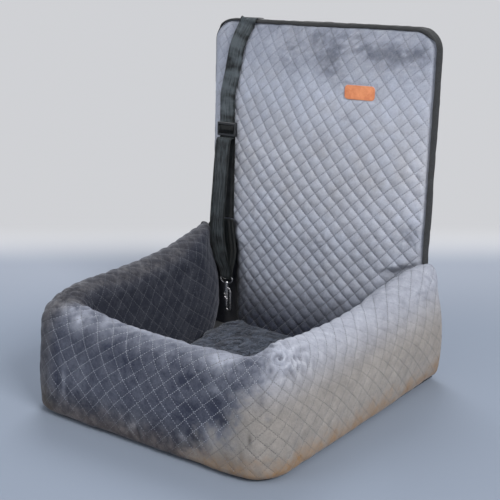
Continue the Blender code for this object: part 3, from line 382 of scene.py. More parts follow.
def crease_height(u, v, creases):
    """Soft ridges and valleys, each a line that fades at its ends."""
    total = np.zeros_like(u)
    for at_u, at_v, degrees, half_length, half_width, depth in creases:
        turn = math.radians(degrees)
        du, dv = u - at_u / 1000, v - at_v / 1000
        along = du * math.cos(turn) + dv * math.sin(turn)
        along_mm, across_mm = along * 1000, (dv * math.cos(turn) - du * math.sin(turn)) * 1000
        across_mm = across_mm + 0.004 * along_mm**2
        total += depth * 0.001 * np.exp(-((along_mm / half_length) ** 2) - (across_mm / half_width) ** 2)
    return total


def pinch_height(u, v, centre, amount=1.0):
    """A dimple with folds running out of it, where the cover is gathered."""
    du, dv = (u - centre[0]) * PINCH_SQUEEZE, v - centre[1]
    r = np.hypot(du, dv)
    theta = np.arctan2(dv, du)
    dimple = -0.0028 * bell(r, 0.0065) + 0.0024 * bell(r, 0.0055, 0.0185)
    dimple = dimple + 0.0034 * np.cos(theta - 2.2 + 2 * math.pi * r / 0.0115) * bell(r, 0.016)
    folds = np.cos(7 * theta + 120 * r) * 0.0022 * bell(r, 0.014, 0.030)
    fine = np.cos(17 * theta - 60 * r + 1.0) * 0.0010 * bell(r, 0.024, 0.042)
    towards_side = 0.45 + 0.55 * smooth(0.5 - du / 0.03)
    return amount * (dimple + (folds + fine) * towards_side)


def smudge(u, v, patches, rough):
    """Sum of soft patches, each broken up by the roughness field."""
    total = np.zeros_like(u)
    for *place, change in patches:
        at_u, at_v, along, over = np.array(place) / 1000
        total += change * np.exp(-(((u - at_u) / along) ** 2) - ((v - at_v) / over) ** 2) * rough
    return total


def wall_finish(u, v, points):
    """What the velvet looks like at each point: tone and coolness of its nap, with painted light and shade in its tone,
    soil partly painted as warm bounce, painted shade, and how far its thread shows.
    """
    broad = noise(points, 0.055, 50)
    blotch = layered(points, (0.026, 51, 0.5), (0.013, 52, 0.4), (0.0065, 53, 0.3))
    fine = layered(points, (0.010, 56, 0.6), (0.005, 57, 0.5))
    # The right wall's pale tone and the front's dark one are partly the nap's own tone and partly painted light: the
    # right wall is painted lit and the front is painted in shade.
    front = smooth((u - (0.722 - 0.80 * v) + 0.047 + 0.042 * blotch + 0.018 * fine + 0.022 * broad) / 0.085)
    left = ramp(u, 1.02, 0.07)
    low = ramp(v, 0.095, -0.08)
    # Painted sheen highlight along the front's crest, weaker by the front right corner and on the left wall.
    crest_highlight = ramp(v, 0.175, 0.05) * (1 - 0.55 * bell(u, 0.035, 0.61))
    dark = 0.075 + 0.030 * broad + 0.070 * blotch + 0.025 * fine + crest_highlight * (0.235 + 0.17 * blotch) * (1 - 0.9 * left)
    dark -= 0.05 * ramp(u, 1.08, 0.08)
    dark += low * (0.12 * np.clip(blotch + 0.1, -0.4, 1) - 0.025) + left * (0.04 * fine - 0.005)
    pale = 0.61 + 0.08 * blotch + 0.06 * fine + 0.06 * ramp(v, 0.12, 0.11) - 0.02 * low
    pale -= 0.06 * ramp(u, 0.42, 0.12)
    tone = mix(pale, dark, front)
    rough = np.clip(0.85 + 0.5 * fine + 0.35 * blotch, 0, 1.6)
    tone += smudge(u, v, WALL_SMUDGES, rough)
    relief = crease_height(u, v, WALL_CREASES) + pinch_height(u, v, FR_PINCH)
    # Painted shade in the hollows of the wrinkles and the pinch, and painted highlight on their tops.
    tone += np.clip(relief * 62, -0.24, 0.12) * mix(1.0, 0.55, front)
    inside = ramp(v, 0.272, 0.03)
    shade = mix(0.58, 0.030, ramp(u, 0.45, 0.15)) + 0.050 * blotch + 0.03 * fine
    tone = mix(tone, shade, inside)
    off = np.hypot((u - FR_PINCH[0] + 0.014) * PINCH_SQUEEZE, v - FR_PINCH[1])
    # Painted light round the front right pinch, with painted light and shade over its folds, and painted shade in its
    # middle.
    tone = mix(tone, 0.70 + np.clip(relief * 70, -0.4, 0.10), 0.75 * bell(off, 0.024))
    tone -= 0.16 * bell(np.hypot((u - FR_PINCH[0]) * 0.8, v - FR_PINCH[1]), 0.0065)
    cool = mix(0.85 * ramp(v, 0.115, 0.12), 0.95 - 0.55 * low - 0.65 * left, front)
    cool = mix(cool, 0.80, inside)
    # Warm brown towards the foot, more at the front right corner and the rear: partly soil and partly painted warm
    # bounce light.
    foot = smooth((0.062 + 0.024 * blotch - v) / 0.062)
    corner = bell(u, 0.05, 0.545)
    rear = bell(u, 0.07)
    soil_and_bounce = foot * (0.92 + 0.25 * corner + 0.25 * rear) * (1 - 0.80 * front) + 0.10 * rear * ramp(v, 0.16, -0.1)
    thread = mix(0.78 - 0.3 * ramp(v, 0.06, -0.05), mix(0.92, 0.12, np.maximum(low, left)), front)
    thread = mix(thread, 0.42, inside) * (1 - 0.7 * bell(off, 0.03))
    side = 1 - ramp(u, 0.44, 0.10)
    cross = 1 - 0.55 * ramp(v, 0.105, 0.05) * (1 - ramp(v, 0.27, 0.03)) * side
    return {
        "tone": np.clip(tone, 0, 1), "cool": np.clip(cool, 0, 1), "soil_and_bounce": np.clip(soil_and_bounce, 0, 1), "thread": thread,
        # Painted shade on the inner faces of the front and the left wall.
        "cross": cross, "painted_shade": 0.5 * inside * ramp(u, 0.6, 0.2),
    }


def rolled_ends(points):
    """(points, spread): the walls with each rear end rolled over to a flat cap, and what repeats other values there."""
    steps = ((0.15, 0.995), (0.40, 0.975), (0.65, 0.94), (0.85, 0.89), (0.96, 0.82), (1.0, 0.70))
    n = len(steps)
    caps = []
    for end in (points[0], points[-1]):
        centre = (end.min(axis=0) + end.max(axis=0)) / 2
        rings = []
        for share, keep in steps:
            ring = centre + (end - centre) * keep
            ring[:, 2] = np.maximum(ring[:, 2], FLOOR)
            ring[:, 1] = WALL_REAR_Y - END_ROLL * (1 - share)
            rings.append(ring)
        caps.append(np.array(rings))
    for k in range(n):
        for row in (k, -1 - k):
            points[row, :, 1] -= END_ROLL * ((n - k) / n) ** 1.3
    spread = lambda a: np.concatenate([np.repeat(a[:1], n, 0), a, np.repeat(a[-1:], n, 0)])
    return np.concatenate([caps[0][::-1], points, caps[1]]), spread


def build_walls():
    """The cover of all three walls as one skin, quilted, gathered and wrinkled over its filling."""
    points, u, v = wall_skin()
    normal = grid_normals(points)
    if normal[len(normal) // 2, 20, 1] > 0:
        normal = -normal
    total = u.max()
    # The quilting is drawn along the right wall's crest, and the other way on the left of the front.
    pull = 0.56 - 0.48 * ramp(u, 0.34, 0.16) - 0.08 * ramp(u, 0.5, 0.2)
    pull = pull - 0.55 * ramp(u, 0.70, 0.22) + 0.55 * ramp(u, 1.0, 0.14)
    steps = np.linspace(0, DRAW_V[-1], 521)
    drawn = np.concatenate([[0], np.cumsum(np.interp(steps[1:], DRAW_V, DRAW) * 0.001)])
    drawn = np.convolve(np.pad(drawn, 12, mode="edge"), np.ones(25) / 25, mode="valid")
    fabric_u = u - pull * np.interp(v, steps, drawn) + 0.0010 * noise(points, 0.05, 9)
    fabric_v = v + 0.0010 * noise(points, 0.05, 10)
    off = np.hypot((u - FR_PINCH[0]) * PINCH_SQUEEZE, v - FR_PINCH[1])
    near_pinch = bell(off, 0.034)
    high = ramp(v, 0.12, 0.08) * (1 - 0.75 * ramp(v, 0.275, 0.03))
    side = 1 - ramp(u, 0.42, 0.12)
    puff = quilt_height(fabric_u, fabric_v, 0.5, 0.36 - 0.10 * high * side)
    amount = (0.0007 + 0.0017 * high) * (1 + 0.35 * noise(points, 0.05, 5)) * (1 - near_pinch)
    height = amount * (puff - 0.45) + 0.0003
    height += layered(points, (0.060, 3, 0.0014), (0.024, 4, 0.0008), (0.010, 6, 0.0003))
    height += crease_height(u, v, WALL_CREASES) + pinch_height(u, v, FR_PINCH)
    height += pinch_height(u, v, (total - FR_PINCH[0] - 0.012, FR_PINCH[1] + 0.02), 0.35)
    edge = smooth(v / 0.012) * smooth((v[:, -1:] - v) / 0.012)
    end = smooth(u / 0.02) * smooth((total - u) / 0.02)
    finish = wall_finish(u, v, points)
    points = points + normal * (height * edge * mix(0.3, 1.0, end))[..., None]
    # The crest sags towards the front right corner, stands fuller along the left wall, and the sides swell.
    sag_u = [*SAG_FROM_RIGHT, *(total - back for back in SAG_FROM_LEFT)]
    sag = np.interp(u, sag_u, SAG)
    points[..., 2] -= sag * ramp(points[..., 2], 0.09, 0.11)
    rearward = bell(points[..., 1], 0.13, 0.235)
    outer_side = 1 - smooth((v / v[:, -1:] - 0.30) / 0.16)
    swell = np.sin(math.pi * np.clip(points[..., 2] / 0.215, 0, 1)) * (0.0022 + 0.0068 * rearward) * outer_side
    points += normal * swell[..., None]
    tuck = 0.012 * rearward * np.clip(1 - points[..., 2] / 0.034, 0, 1) ** 2 * outer_side
    points[..., 0] -= np.sign(points[..., 0]) * tuck
    # The rear ends narrow towards their tops and feet, like the end of a pillow.
    back = ramp(points[..., 1], 0.150, 0.120)
    narrow = 0.018 * ramp(points[..., 2], 0.125, 0.11) + 0.007 * ramp(points[..., 2], 0.07, -0.06)
    inner_side = smooth((v / v[:, -1:] - 0.50) / 0.12)
    points[..., 0] += np.sign(points[..., 0]) * back * narrow * inner_side
    points[..., 2] = np.maximum(points[..., 2], FLOOR)
    points, spread = rolled_ends(points)
    uv = np.stack([spread(fabric_u), spread(fabric_v)], -1)
    finish = {key: spread(values) for key, values in finish.items()}
    return tube_mesh("quilted_walls", points, uv, finish)


# Back panel


def upper_crown(x, z):
    across = 1 - np.minimum(np.abs(x) / (PANEL_HALF - BINDING_THICKNESS), 1.0) ** PANEL_CROWN_POWER
    down = mix(CROWN_EDGE_SHARE, 1.0, smooth((PANEL_TOP_Z - z) / CROWN_RISE))
    return PANEL_CROWN * across * down


def tucked_crown(x, z):
    """The panel's crown, drawn in where the walls stand against it."""
    limit = mix(INNER_HALF_REAR + 0.002, PANEL_HALF + 0.05, ramp(z, 0.205, 0.055))
    return upper_crown(x, z) * smooth((limit - np.abs(x)) / 0.046)


def panel_grid(columns, rows):
    """(x, z) of an even grid over the panel's height, and (x, z) with those outside its round top corners drawn in."""
    x, z = np.meshgrid(np.linspace(-PAD_HALF, PAD_HALF, columns), np.linspace(FLOOR, PAD_TOP_Z, rows), indexing="ij")
    over_x, over_z = np.abs(x) - (PAD_HALF - PAD_CORNER), z - (PAD_TOP_Z - PAD_CORNER)
    reach = np.hypot(over_x, over_z)
    out = (over_x > 0) & (over_z > 0) & (reach > PAD_CORNER)
    share = np.where(out, PAD_CORNER / np.maximum(reach, 1e-9), 1.0)
    px = np.where(out, np.sign(x) * (PAD_HALF - PAD_CORNER + over_x * share), x)
    return x, z, px, np.where(out, PAD_TOP_Z - PAD_CORNER + over_z * share, z)


PANEL_STEP = 0.0021

# The same for the panel: x, z, radius across, radius up in mm, change of tone
PANEL_SMUDGES = [
    (30, 650, 34, 36, -0.22), (44, 640, 14, 16, -0.34), (40, 618, 16, 10, -0.30), (50, 664, 10, 12, -0.26),
    (4, 674, 16, 14, -0.24), (96, 684, 10, 6, -0.34), (75, 660, 30, 20, -0.14), (112, 664, 16, 10, -0.26),
    (140, 654, 22, 11, -0.34), (176, 655, 30, 11, -0.34), (215, 655, 26, 9, -0.30), (180, 642, 50, 16, -0.16),
    (155, 668, 40, 8, -0.18), (236, 662, 14, 12, -0.24), (-60, 650, 26, 26, -0.12), (235, 298, 20, 20, -0.34),
    (89, 521, 13, 10, -0.20), (-50, 630, 30, 50, -0.08), (65, 600, 40, 30, -0.06), (20, 690, 200, 12, -0.06),
    (200, 620, 60, 50, -0.05), (60, 560, 60, 50, 0.03), (235, 400, 30, 90, 0.06), (-120, 420, 50, 80, 0.03),
]
PANEL_CREASES = [
    (37, 252, 20, 26, 2.2, -1.2), (30, 266, 60, 16, 2.0, 0.9), (200, 330, 40, 24, 2.4, -0.9),
    (240, 285, 120, 18, 2.4, -1.2), (222, 280, 95, 16, 2.2, 0.9), (80, 300, -20, 30, 2.6, -0.6),
    (-100, 690, 80, 12, 2.2, -1.0), (-40, 694, 96, 12, 2.2, -0.9), (30, 694, 86, 12, 2.2, -0.9),
    (100, 692, 94, 12, 2.2, -0.8), (252, 560, 10, 12, 2.2, -0.9), (252, 430, -6, 12, 2.2, -0.9),
    (250, 610, 4, 12, 2.0, -0.8), (250, 380, 8, 12, 2.0, -0.8),
]


def build_panel():
    """The quilted front of the back panel, in one piece across the fold."""
    x, z, px, pz = panel_grid(int(2 * PAD_HALF / PANEL_STEP), int((PAD_TOP_Z - FLOOR) / PANEL_STEP))
    place = pile3(x, z)
    crown = tucked_crown(x, z)
    # The quilting runs square below, and is drawn down to the right towards the top.
    rise = np.maximum(z - 0.34, 0.0)
    u = x * (1.03 + 0.10 * ramp(z, 0.40, 0.25)) - 0.30 * rise**2 / (rise + 0.08)
    u = u + 0.0018 * noise(place, 0.08, 12) + 0.0006 * noise(place, 0.03, 26)
    v = z * 1.04 + 0.0014 * noise(place, 0.08, 13)
    puff = quilt_height(u, v, 0.45)
    edge = np.minimum(PAD_HALF - np.abs(px), PAD_TOP_Z - pz)
    corner_x, corner_z = np.abs(px) - (PAD_HALF - PANEL_CORNER), pz - (PAD_TOP_Z - PANEL_CORNER)
    in_corner = (corner_x > 0) & (corner_z > 0)
    edge = np.where(in_corner, PANEL_CORNER - np.hypot(corner_x, corner_z), edge)
    hem = smooth(edge / 0.012)
    points = pile3(px, PANEL_FRONT_Y - crown, pz)
    between = smooth(crown / 0.003 + 3 * ramp(z, 0.25, 0.02))
    flat_x = smooth((LABEL_WIDTH / 2 + 0.007 - np.abs(x - LABEL_X)) / 0.006)
    flat_z = smooth((LABEL_HEIGHT / 2 + 0.007 - np.abs(z - LABEL_Z)) / 0.006)
    label = flat_x * flat_z
    down = np.clip((0.66 - z) / 0.36, 0, 1)
    amount = mix(0.0013, 0.0042, smooth(down)) * (1 + 0.2 * noise(place, 0.06, 14))
    height = (amount * puff * (1 - label) + 0.0006) * hem * between
    height += hem * between * (noise(place, 0.07, 11) * 0.0012 + crease_height(x, z, PANEL_CREASES))
    points[..., 1] -= height
    # The band lies over its edge, except down the left side, where the velvet comes round it.
    wraps = ramp(-x, 0.200, 0.03) * (1 - ramp(z, PAD_TOP_Z - 0.040, 0.03))
    points[..., 1] += (1 - smooth(edge / 0.006)) * mix(0.0035, 0.0006, wraps) * ramp(z, 0.245, 0.02)
    points[..., 0] -= 0.0022 * wraps * smooth(1 - edge / 0.006)
    points[..., 1] = np.minimum(points[..., 1], PANEL_FRONT_Y + 0.002)
    front = lean(points)
    back = points.copy()
    back[..., 1] = PANEL_FRONT_Y + QUILT_BACKING
    back = lean(back)
    cell = pile3(np.round((u + v) / QUILT_DIAGONAL), np.round((u - v) / QUILT_DIAGONAL)) + 0.5
    blotch = layered(place, (0.030, 15, 0.5), (0.013, 16, 0.4), (0.006, 19, 0.3))
    # The panel's left strip beside the strap is painted lighter: painted light against the shade that falls there.
    tone = 0.89 + 0.06 * blotch + 0.03 * noise(cell, 1.0, 17) + 0.10 * ramp(-x, 0.215, 0.02)
    # Painted shade darkens it along its hem, and more and more towards its foot behind the cushion.
    tone -= 0.21 * ramp(z, 0.56, 0.12) * (1 + 0.8 * blotch) + 0.08 * (1 - smooth(edge / 0.010))
    tone -= 0.12 * (1 - ramp(z, 0.16, 0.22)) + 0.76 * (1 - ramp(z, 0.03, 0.16))
    brushed = noise(pile3(x * 0.9 + z * 0.5, z * 1.0 - x * 0.3), (0.030, 0.007, 1.0), 18)
    spotty = layered(place, (0.009, 27, 1.0), (0.0045, 28, 0.6))
    worn = 1.6 * smudge(x, z, PANEL_SMUDGES, np.clip(0.95 + 0.6 * brushed + 0.6 * spotty, 0, 2.0))
    tone += np.where(worn < 0, -0.46 * (1 - np.exp(np.minimum(worn, 0) / 0.40)), worn)
    # Painted shadow: the panel's lower left corner, in the crevice by the left wall, is painted nearly black.
    recess_shadow = smooth((-x - (INNER_HALF_REAR - 0.022)) / 0.014) * (1 - ramp(z, 0.258, 0.012))
    tone = tone * (1 - recess_shadow)
    thread = (0.45 + 0.25 * smooth(down)) * hem * (1 - recess_shadow)
    cool = 0.95 - 0.22 * bell(z, 0.12, 0.42) + 0.15 * blotch
    finish = {
        "tone": np.clip(tone, 0, 1), "cool": np.clip(cool, 0, 1), "soil_and_bounce": 0 * x,
        "thread": thread, "cross": 0 * x + 1, "painted_shade": 0.8 * recess_shadow,
    }
    return slab_mesh("quilted_panel", front, back, (u, v), finish)


def build_binding():
    """One band round the panel's thickness, from the foot of one side over the top to the other."""
    radius = PANEL_CORNER
    path = [(PANEL_HALF, z) for z in np.linspace(FLOOR, PANEL_TOP_Z - radius, 260)]
    path += [
        (PANEL_HALF - radius + radius * math.cos(a), PANEL_TOP_Z - radius + radius * math.sin(a))
        for a in np.linspace(0, math.pi / 2, 24)[1:]
    ]
    path += [(x, PANEL_TOP_Z) for x in np.linspace(PANEL_HALF - radius, 0, 80)[1:]]
    path += [(-x, z) for x, z in path[-2::-1]]
    path = np.array(path)
    along = unit(np.gradient(path, axis=0))
    out = np.stack([along[:, 1], -along[:, 0]], 1)
    reach = reach_along(path)
    top = ramp(path[:, 1], PANEL_TOP_Z - 0.030, 0.022)
    leftward = ramp(-path[:, 0], 0.150, 0.05)
    lip = mix(0.0010, 0.0088 - 0.0042 * leftward, top) + 0.0007 * noise(pile3(reach, 0.0), (0.03, 1, 1), 23)
    low_left = (path[:, 0] < 0) * ramp(path[:, 1], 0.15, 0.05) * (1 - ramp(path[:, 1], 0.238, 0.022))
    path[:, 0] -= 0.016 * low_left
    inner = path - out * 0.006
    face = PANEL_FRONT_Y - upper_crown(inner[:, 0], inner[:, 1]) * ramp(inner[:, 1], 0.25, 0.02)
    face = np.minimum(face - 0.0024, PANEL_FRONT_Y - 0.0006)
    hidden = ramp(-path[:, 0], PANEL_HALF - 0.030, 0.012) * (1 - ramp(path[:, 1], PANEL_TOP_Z - 0.030, 0.02))
    face = mix(face, PANEL_FRONT_Y + 0.0046, hidden)
    lip = mix(lip, 0.0004, hidden)
    front, back = PANEL_FRONT_Y + GAP, PANEL_FRONT_Y + BINDING_WIDTH
    shift = lambda a: np.full(len(path), a)
    profile = [(face + 0.0012, -lip), (face + 0.0002, -lip), (face - 0.0004, 0.0006 - lip), (face - 0.0007, -0.5 * lip)]
    profile += [(face - 0.0004, -0.0010 + 0 * lip), (mix(face, front, 0.5), -0.0004 + 0 * lip)]
    for a in np.linspace(0, 1, 16):
        profile.append((shift(front + (back - front) * a), shift(0.0009 * math.sin(math.pi * a) - 0.0006)))
    profile += [(y, shift(-BINDING_THICKNESS)) for y in (shift(back), shift(front + 0.003), face + 0.0020)]
    ring = []
    for y, o in profile:
        around = pile3(reach, y, 0.0)
        wave = layered(around, ((0.050, 0.03, 1), 21, 0.0008), ((0.014, 0.02, 1), 24, 0.0006))
        wave = wave - 0.0007 * np.clip(noise(around, (0.010, 0.05, 1), 25) - 0.35, 0, 1)
        place = path + out * (o + 0.0012 + wave)[:, None]
        y = y + 0.0004 * noise(pile3(reach, 0.0), (0.05, 1, 1), 22)
        ring.append(pile3(place[:, 0], y, place[:, 1]))
    points = lean(np.stack(ring, 1))
    uv = np.stack(np.broadcast_arrays(reach[:, None], np.arange(len(profile))[None] * 0.0018), -1)
    return tube_mesh("panel_binding", points, uv)


def build_rear_cloth():
    """The panel's rear cloth, in one piece across the fold."""
    y = PANEL_FRONT_Y + QUILT_BACKING + 2 * GAP + BOARD_THICKNESS
    x, z, px, pz = panel_grid(90, 130)
    outer = lean(pile3(px, y + REAR_CLOTH_THICKNESS + REAR_CLOTH_RIPPLE * noise(pile3(x, z), 0.06, 31), pz))
    inner = lean(pile3(px, np.full_like(x, y), pz))
    return slab_mesh("panel_rear_cloth", inner, outer, (x, z))


# Cushion


def corner_rays(steps):
    """(sign of x, sign of y, cosine, sine) at even steps round the corners of a rounded rectangle."""
    for quarter in range(4):
        signs = (1 if quarter in (0, 3) else -1, 1 if quarter in (0, 1) else -1)
        for n in range(steps):
            angle = math.pi / 2 * (quarter + n / (steps - 1))
            yield *signs, math.cos(angle), math.sin(angle)


def flare(y):
    return mix(INNER_HALF_FRONT, INNER_HALF_REAR, along_side(y)) / INNER_HALF_FRONT


def cushion_outline(inset, count=240):
    """A rounded rectangle whose straight sides pull in between its corners."""
    front = INNER_FRONT_Y + INNER_BULGE + QUILT_PUFF + CUSHION_PLAY
    rear = PANEL_FRONT_Y - PANEL_CROWN - QUILT_PUFF - CUSHION_PLAY + 0.8 * CUSHION_DRAW_IN
    half = INNER_HALF_FRONT - INNER_BULGE - QUILT_PUFF - CUSHION_PLAY - inset
    middle, depth = (front + rear) / 2, (rear - front) / 2 - inset
    corner = max(CUSHION_CORNER - inset, 0.004)
    ring = []
    for sx, sy, c, s in corner_rays(30):
        r = corner if sy < 0 else max(CUSHION_REAR_CORNER - inset, 0.003)
        ring.append((sx * (half - r) + r * c, sy * (depth - r) + r * s))
    ring = np.array(ring + ring[:1])
    reach = reach_along(ring)
    at = np.linspace(0, reach[-1], count + 1)[:-1]
    x, y = np.interp(at, reach, ring[:, 0]), np.interp(at, reach, ring[:, 1])
    pull_x = CUSHION_DRAW_IN * (1 - smooth(np.abs(x) / (half * 0.85))) * (np.abs(y) > depth * 0.9)
    pull_y = CUSHION_DRAW_IN * (1 - smooth(np.abs(y) / (depth * 0.85))) * (np.abs(x) > half * 0.9)
    x, y = x - np.sign(x) * pull_y, y - np.sign(y) * pull_x
    # Its rear corners are nearly square, and its rear edge lies against the panel's foot.
    rearmost = smooth((y - depth * 0.75) / (depth * 0.25))
    x = x + np.sign(x) * 0.017 * smooth(y / depth) * smooth((np.abs(x) - half * 0.6) / (half * 0.3))
    y = y + 0.010 * rearmost * smooth((np.abs(x) - half * 0.70) / (half * 0.25))
    y = y + middle
    return np.stack([x * flare(y), y], 1)


def apply_modifier(obj, modifier):
    bpy.context.view_layer.objects.active = obj
    bpy.ops.object.modifier_apply(modifier=modifier.name)


def vertex_array(mesh, what="co"):
    flat = np.empty(len(mesh.vertices) * 3)
    mesh.vertices.foreach_get(what, flat)
    return flat.reshape(-1, 3)


def inflate(obj, voxel=0.006, cap=0.006):
    """Remeshes a closed form and blows it up as cloth, no point of it further than the cap."""
    remesh = obj.modifiers.new("remesh", "REMESH")
    remesh.mode, remesh.voxel_size = "VOXEL", voxel
    apply_modifier(obj, remesh)
    before = vertex_array(obj.data)
    cloth = obj.modifiers.new("cloth", "CLOTH")
    cloth.settings.use_pressure = True
    cloth.settings.uniform_pressure_force = 4.0
    cloth.settings.effector_weights.gravity = 0.0
    cloth.point_cache.frame_start, cloth.point_cache.frame_end = 1, 20
    scene = bpy.context.scene
    for number in range(1, 21):
        scene.frame_set(number)
    after = vertex_array(obj.evaluated_get(bpy.context.evaluated_depsgraph_get()).data)
    obj.modifiers.remove(cloth)
    scene.frame_set(1)
    move = after - before
    reach = np.maximum(np.linalg.norm(move, axis=1, keepdims=True), 1e-9)
    obj.data.vertices.foreach_set("co", (before + move * np.minimum(1.0, cap / reach)).reshape(-1))


def build_cushion():
    """A crowned loose cushion, blown up as cloth, then wrinkled."""
    edge, top = CUSHION_EDGE, CUSHION_HEIGHT
    inset, low = 0.0035, 0.002
    profile = [(0.9 * edge, FLOOR + low), (0.35 * edge, FLOOR + 0.3 * edge), (0.0, FLOOR + edge)]
    # How far in, and how far below the top, in the radius of its edge
    crown = ((0.0, 1.6), (0.35, 0.9), (1.2, 0.50), (2.2, 0.34), (3.5, 0.24), (5.5, 0.16), (8.0, 0.12), (10.5, 0.10))
    profile += [(i * edge, top - drop * edge) for i, drop in crown]
    points = np.stack([pile3(*cushion_outline(i + inset).T, z) for i, z in profile])
    obj = tube_mesh("seat_cushion", points, None, turned=True)
    inflate(obj)
    finer = obj.modifiers.new("finer", "SUBSURF")
    finer.levels = finer.render_levels = 1
    apply_modifier(obj, finer)
    place = vertex_array(obj.data)
    normal = vertex_array(obj.data, "normal")
    ridges = 1 - np.abs(noise(place, (0.045, 0.030, 0.03), 41))
    fold = 1 - np.abs(noise(place + 0.5, (0.022, 0.034, 0.03), 43))
    small = 1 - np.abs(noise(place + 0.2, (0.016, 0.012, 0.02), 44))
    # Its edge swells against the walls at both sides, most at the rear.
    swollen = ramp(np.abs(place[:, 0]), 0.12, 0.06) * ramp(place[:, 2], 0.008, 0.012)
    rearward = ramp(place[:, 1], 0.08, 0.12)
    # The hook hangs beside the left rear corner, so that one stays narrow.
    swollen = swollen * np.where(place[:, 0] < 0, 1 - ramp(place[:, 1], 0.14, 0.06), 1)
    place[:, 0] += np.sign(place[:, 0]) * (0.003 + 0.009 * rearward) * swollen
    place[:, 2] += (0.003 + 0.002 * rearward) * swollen
    beside_hook = ramp(place[:, 1], 0.205, 0.030) * ramp(-place[:, 0], 0.12, 0.06)
    place[:, 0] *= 1 - 0.080 * beside_hook
    push = 0.0014 * noise(place, 0.06, 42) - 0.0034 * ridges**7 - 0.0024 * fold**8 - 0.0012 * small**6 + 0.0012
    place = place + normal * (push * ramp(place[:, 2], 0.012, 0.012))[:, None]
    place[:, 2] = np.maximum(place[:, 2], FLOOR + GAP)
    obj.data.vertices.foreach_set("co", place.reshape(-1))
    obj.data.shade_smooth()
    return obj


# Label


def build_label():
    """A thin rounded patch of leather, bent along the panel's crown, with a soft edge."""
    layers = [(0.0000, 0.0000), (0.0000, 0.0010), (0.0003, 0.0014), (0.0009, 0.0016)]
    layers += [(inset, 0.0016) for inset in (0.0022, 0.0030, 0.0045, 0.0070, 0.0100, 0.0135)]
    points, uv = [], []
    for inset, rise in layers:
        half_w, half_h = LABEL_WIDTH / 2 - inset, LABEL_HEIGHT / 2 - inset
        corner = max(LABEL_CORNER + 0.002 - inset, 0.0006)
        ring, flat = [], []
        for sx, sz, c, s in corner_rays(14):
            x = sx * (half_w - corner) + corner * c
            z = sz * (half_h - corner) + corner * s
            y = PANEL_FRONT_Y - float(upper_crown(LABEL_X + x, LABEL_Z + z)) - 0.0006 - rise
            ring.append((LABEL_X + x, y, LABEL_Z + z))
            flat.append((x, z))
        points.append(ring)
        uv.append(flat)
    return tube_mesh("label", lean(np.array(points)), np.array(uv), turned=True)


# Webbing


# The strap's middle from side to side at heights up the panel
STRAP_Z = (0.486, 0.520, 0.542, 0.555, 0.5750, 0.610, 0.6555, 0.6875, 0.709)
STRAP_X = (-0.217, -0.2170, -0.2170, -0.2156, -0.2120, -0.2045, -0.1945, -0.1830, -0.1715)


def tether_x(z):
    return float(np.interp(z, STRAP_Z, STRAP_X))


def on_quilt(z):
    edge = tether_x(z) + WEBBING_WIDTH / 2
    return PANEL_FRONT_Y - float(upper_crown(np.array(edge), np.array(z))) - QUILT_PUFF - GAP - WEBBING_THICKNESS / 2


def glide_y():
    return on_quilt(GLIDE_Z) + WEBBING_THICKNESS / 2 - GLIDE_DEPTH / 2


# (z, y, x) of the strap where it hangs free between the slide and the hook
BOW = (
    (0.450, 0.2540, -0.2168), (0.400, 0.2455, -0.2172), (0.345, 0.2420, -0.2185), (0.290, 0.2425, -0.2230),
    (0.250, 0.2440, -0.2255), (0.215, 0.2460, -0.2240), (0.180, 0.2480, -0.2190),
)


def strap_route():
    """The tether from its sewn end over the panel's top, through the slide and down round the hook's eye."""
    over = PANEL_TOP_Z + GAP + WEBBING_THICKNESS / 2 + 0.0022
    front = on_quilt(PANEL_TOP_Z)
    top_x = STRAP_X[-1]
    route = [
        (top_x + 0.003, PANEL_FRONT_Y + 0.6 * BINDING_WIDTH, over - 0.0006, WEBBING_WIDTH),
        (top_x + 0.001, front + 0.004, over, WEBBING_WIDTH),
        (top_x, front - 0.0005, over - 0.003, WEBBING_WIDTH),
    ]
    straight_from = GLIDE_Z + GLIDE_HEIGHT / 2 + 0.056
    straight_to = GLIDE_Z - GLIDE_HEIGHT / 2 - 0.004
    for z in np.linspace(PANEL_TOP_Z - 0.012, straight_from + 0.010, 10):
        share = float(ramp(z, 0.606, -0.062))
        route.append((tether_x(z), mix(on_quilt(z), glide_y(), share), z, WEBBING_WIDTH))
    route += [(TETHER_X, glide_y(), z, WEBBING_WIDTH) for z in (straight_from, 0.52, GLIDE_Z, straight_to)]
    route += [(x, y, z, WEBBING_WIDTH) for z, y, x in BOW]
    radius = EYE_WIRE + 0.0005 + WEBBING_THICKNESS / 2
    route.append((TETHER_LOW_X - 0.002, HOOK_BAR_Y - radius - 0.001, HOOK_BAR_Z + 0.022, 0.033))
    for n in range(9):
        a = math.pi * n / 8
        y, z = HOOK_BAR_Y - radius * math.cos(a), HOOK_BAR_Z - radius * math.sin(a)
        route.append((TETHER_LOW_X, y, z, BIGHT_WIDTH))
    back_y = on_quilt(FOLD_Z)
    for t in np.linspace(0.85, 0.0, 7):
        z = mix(FOLD_Z, HOOK_BAR_Z, t)
        x = mix(TETHER_X, TETHER_LOW_X, float(smooth(t * 1.6)))
        width = mix(WEBBING_WIDTH, BIGHT_WIDTH, float(ramp(t, 0.55, 0.45)))
        route.append((x, mix(back_y, HOOK_BAR_Y + radius, float(smooth(2 * t - 1))), z, width))
    return route


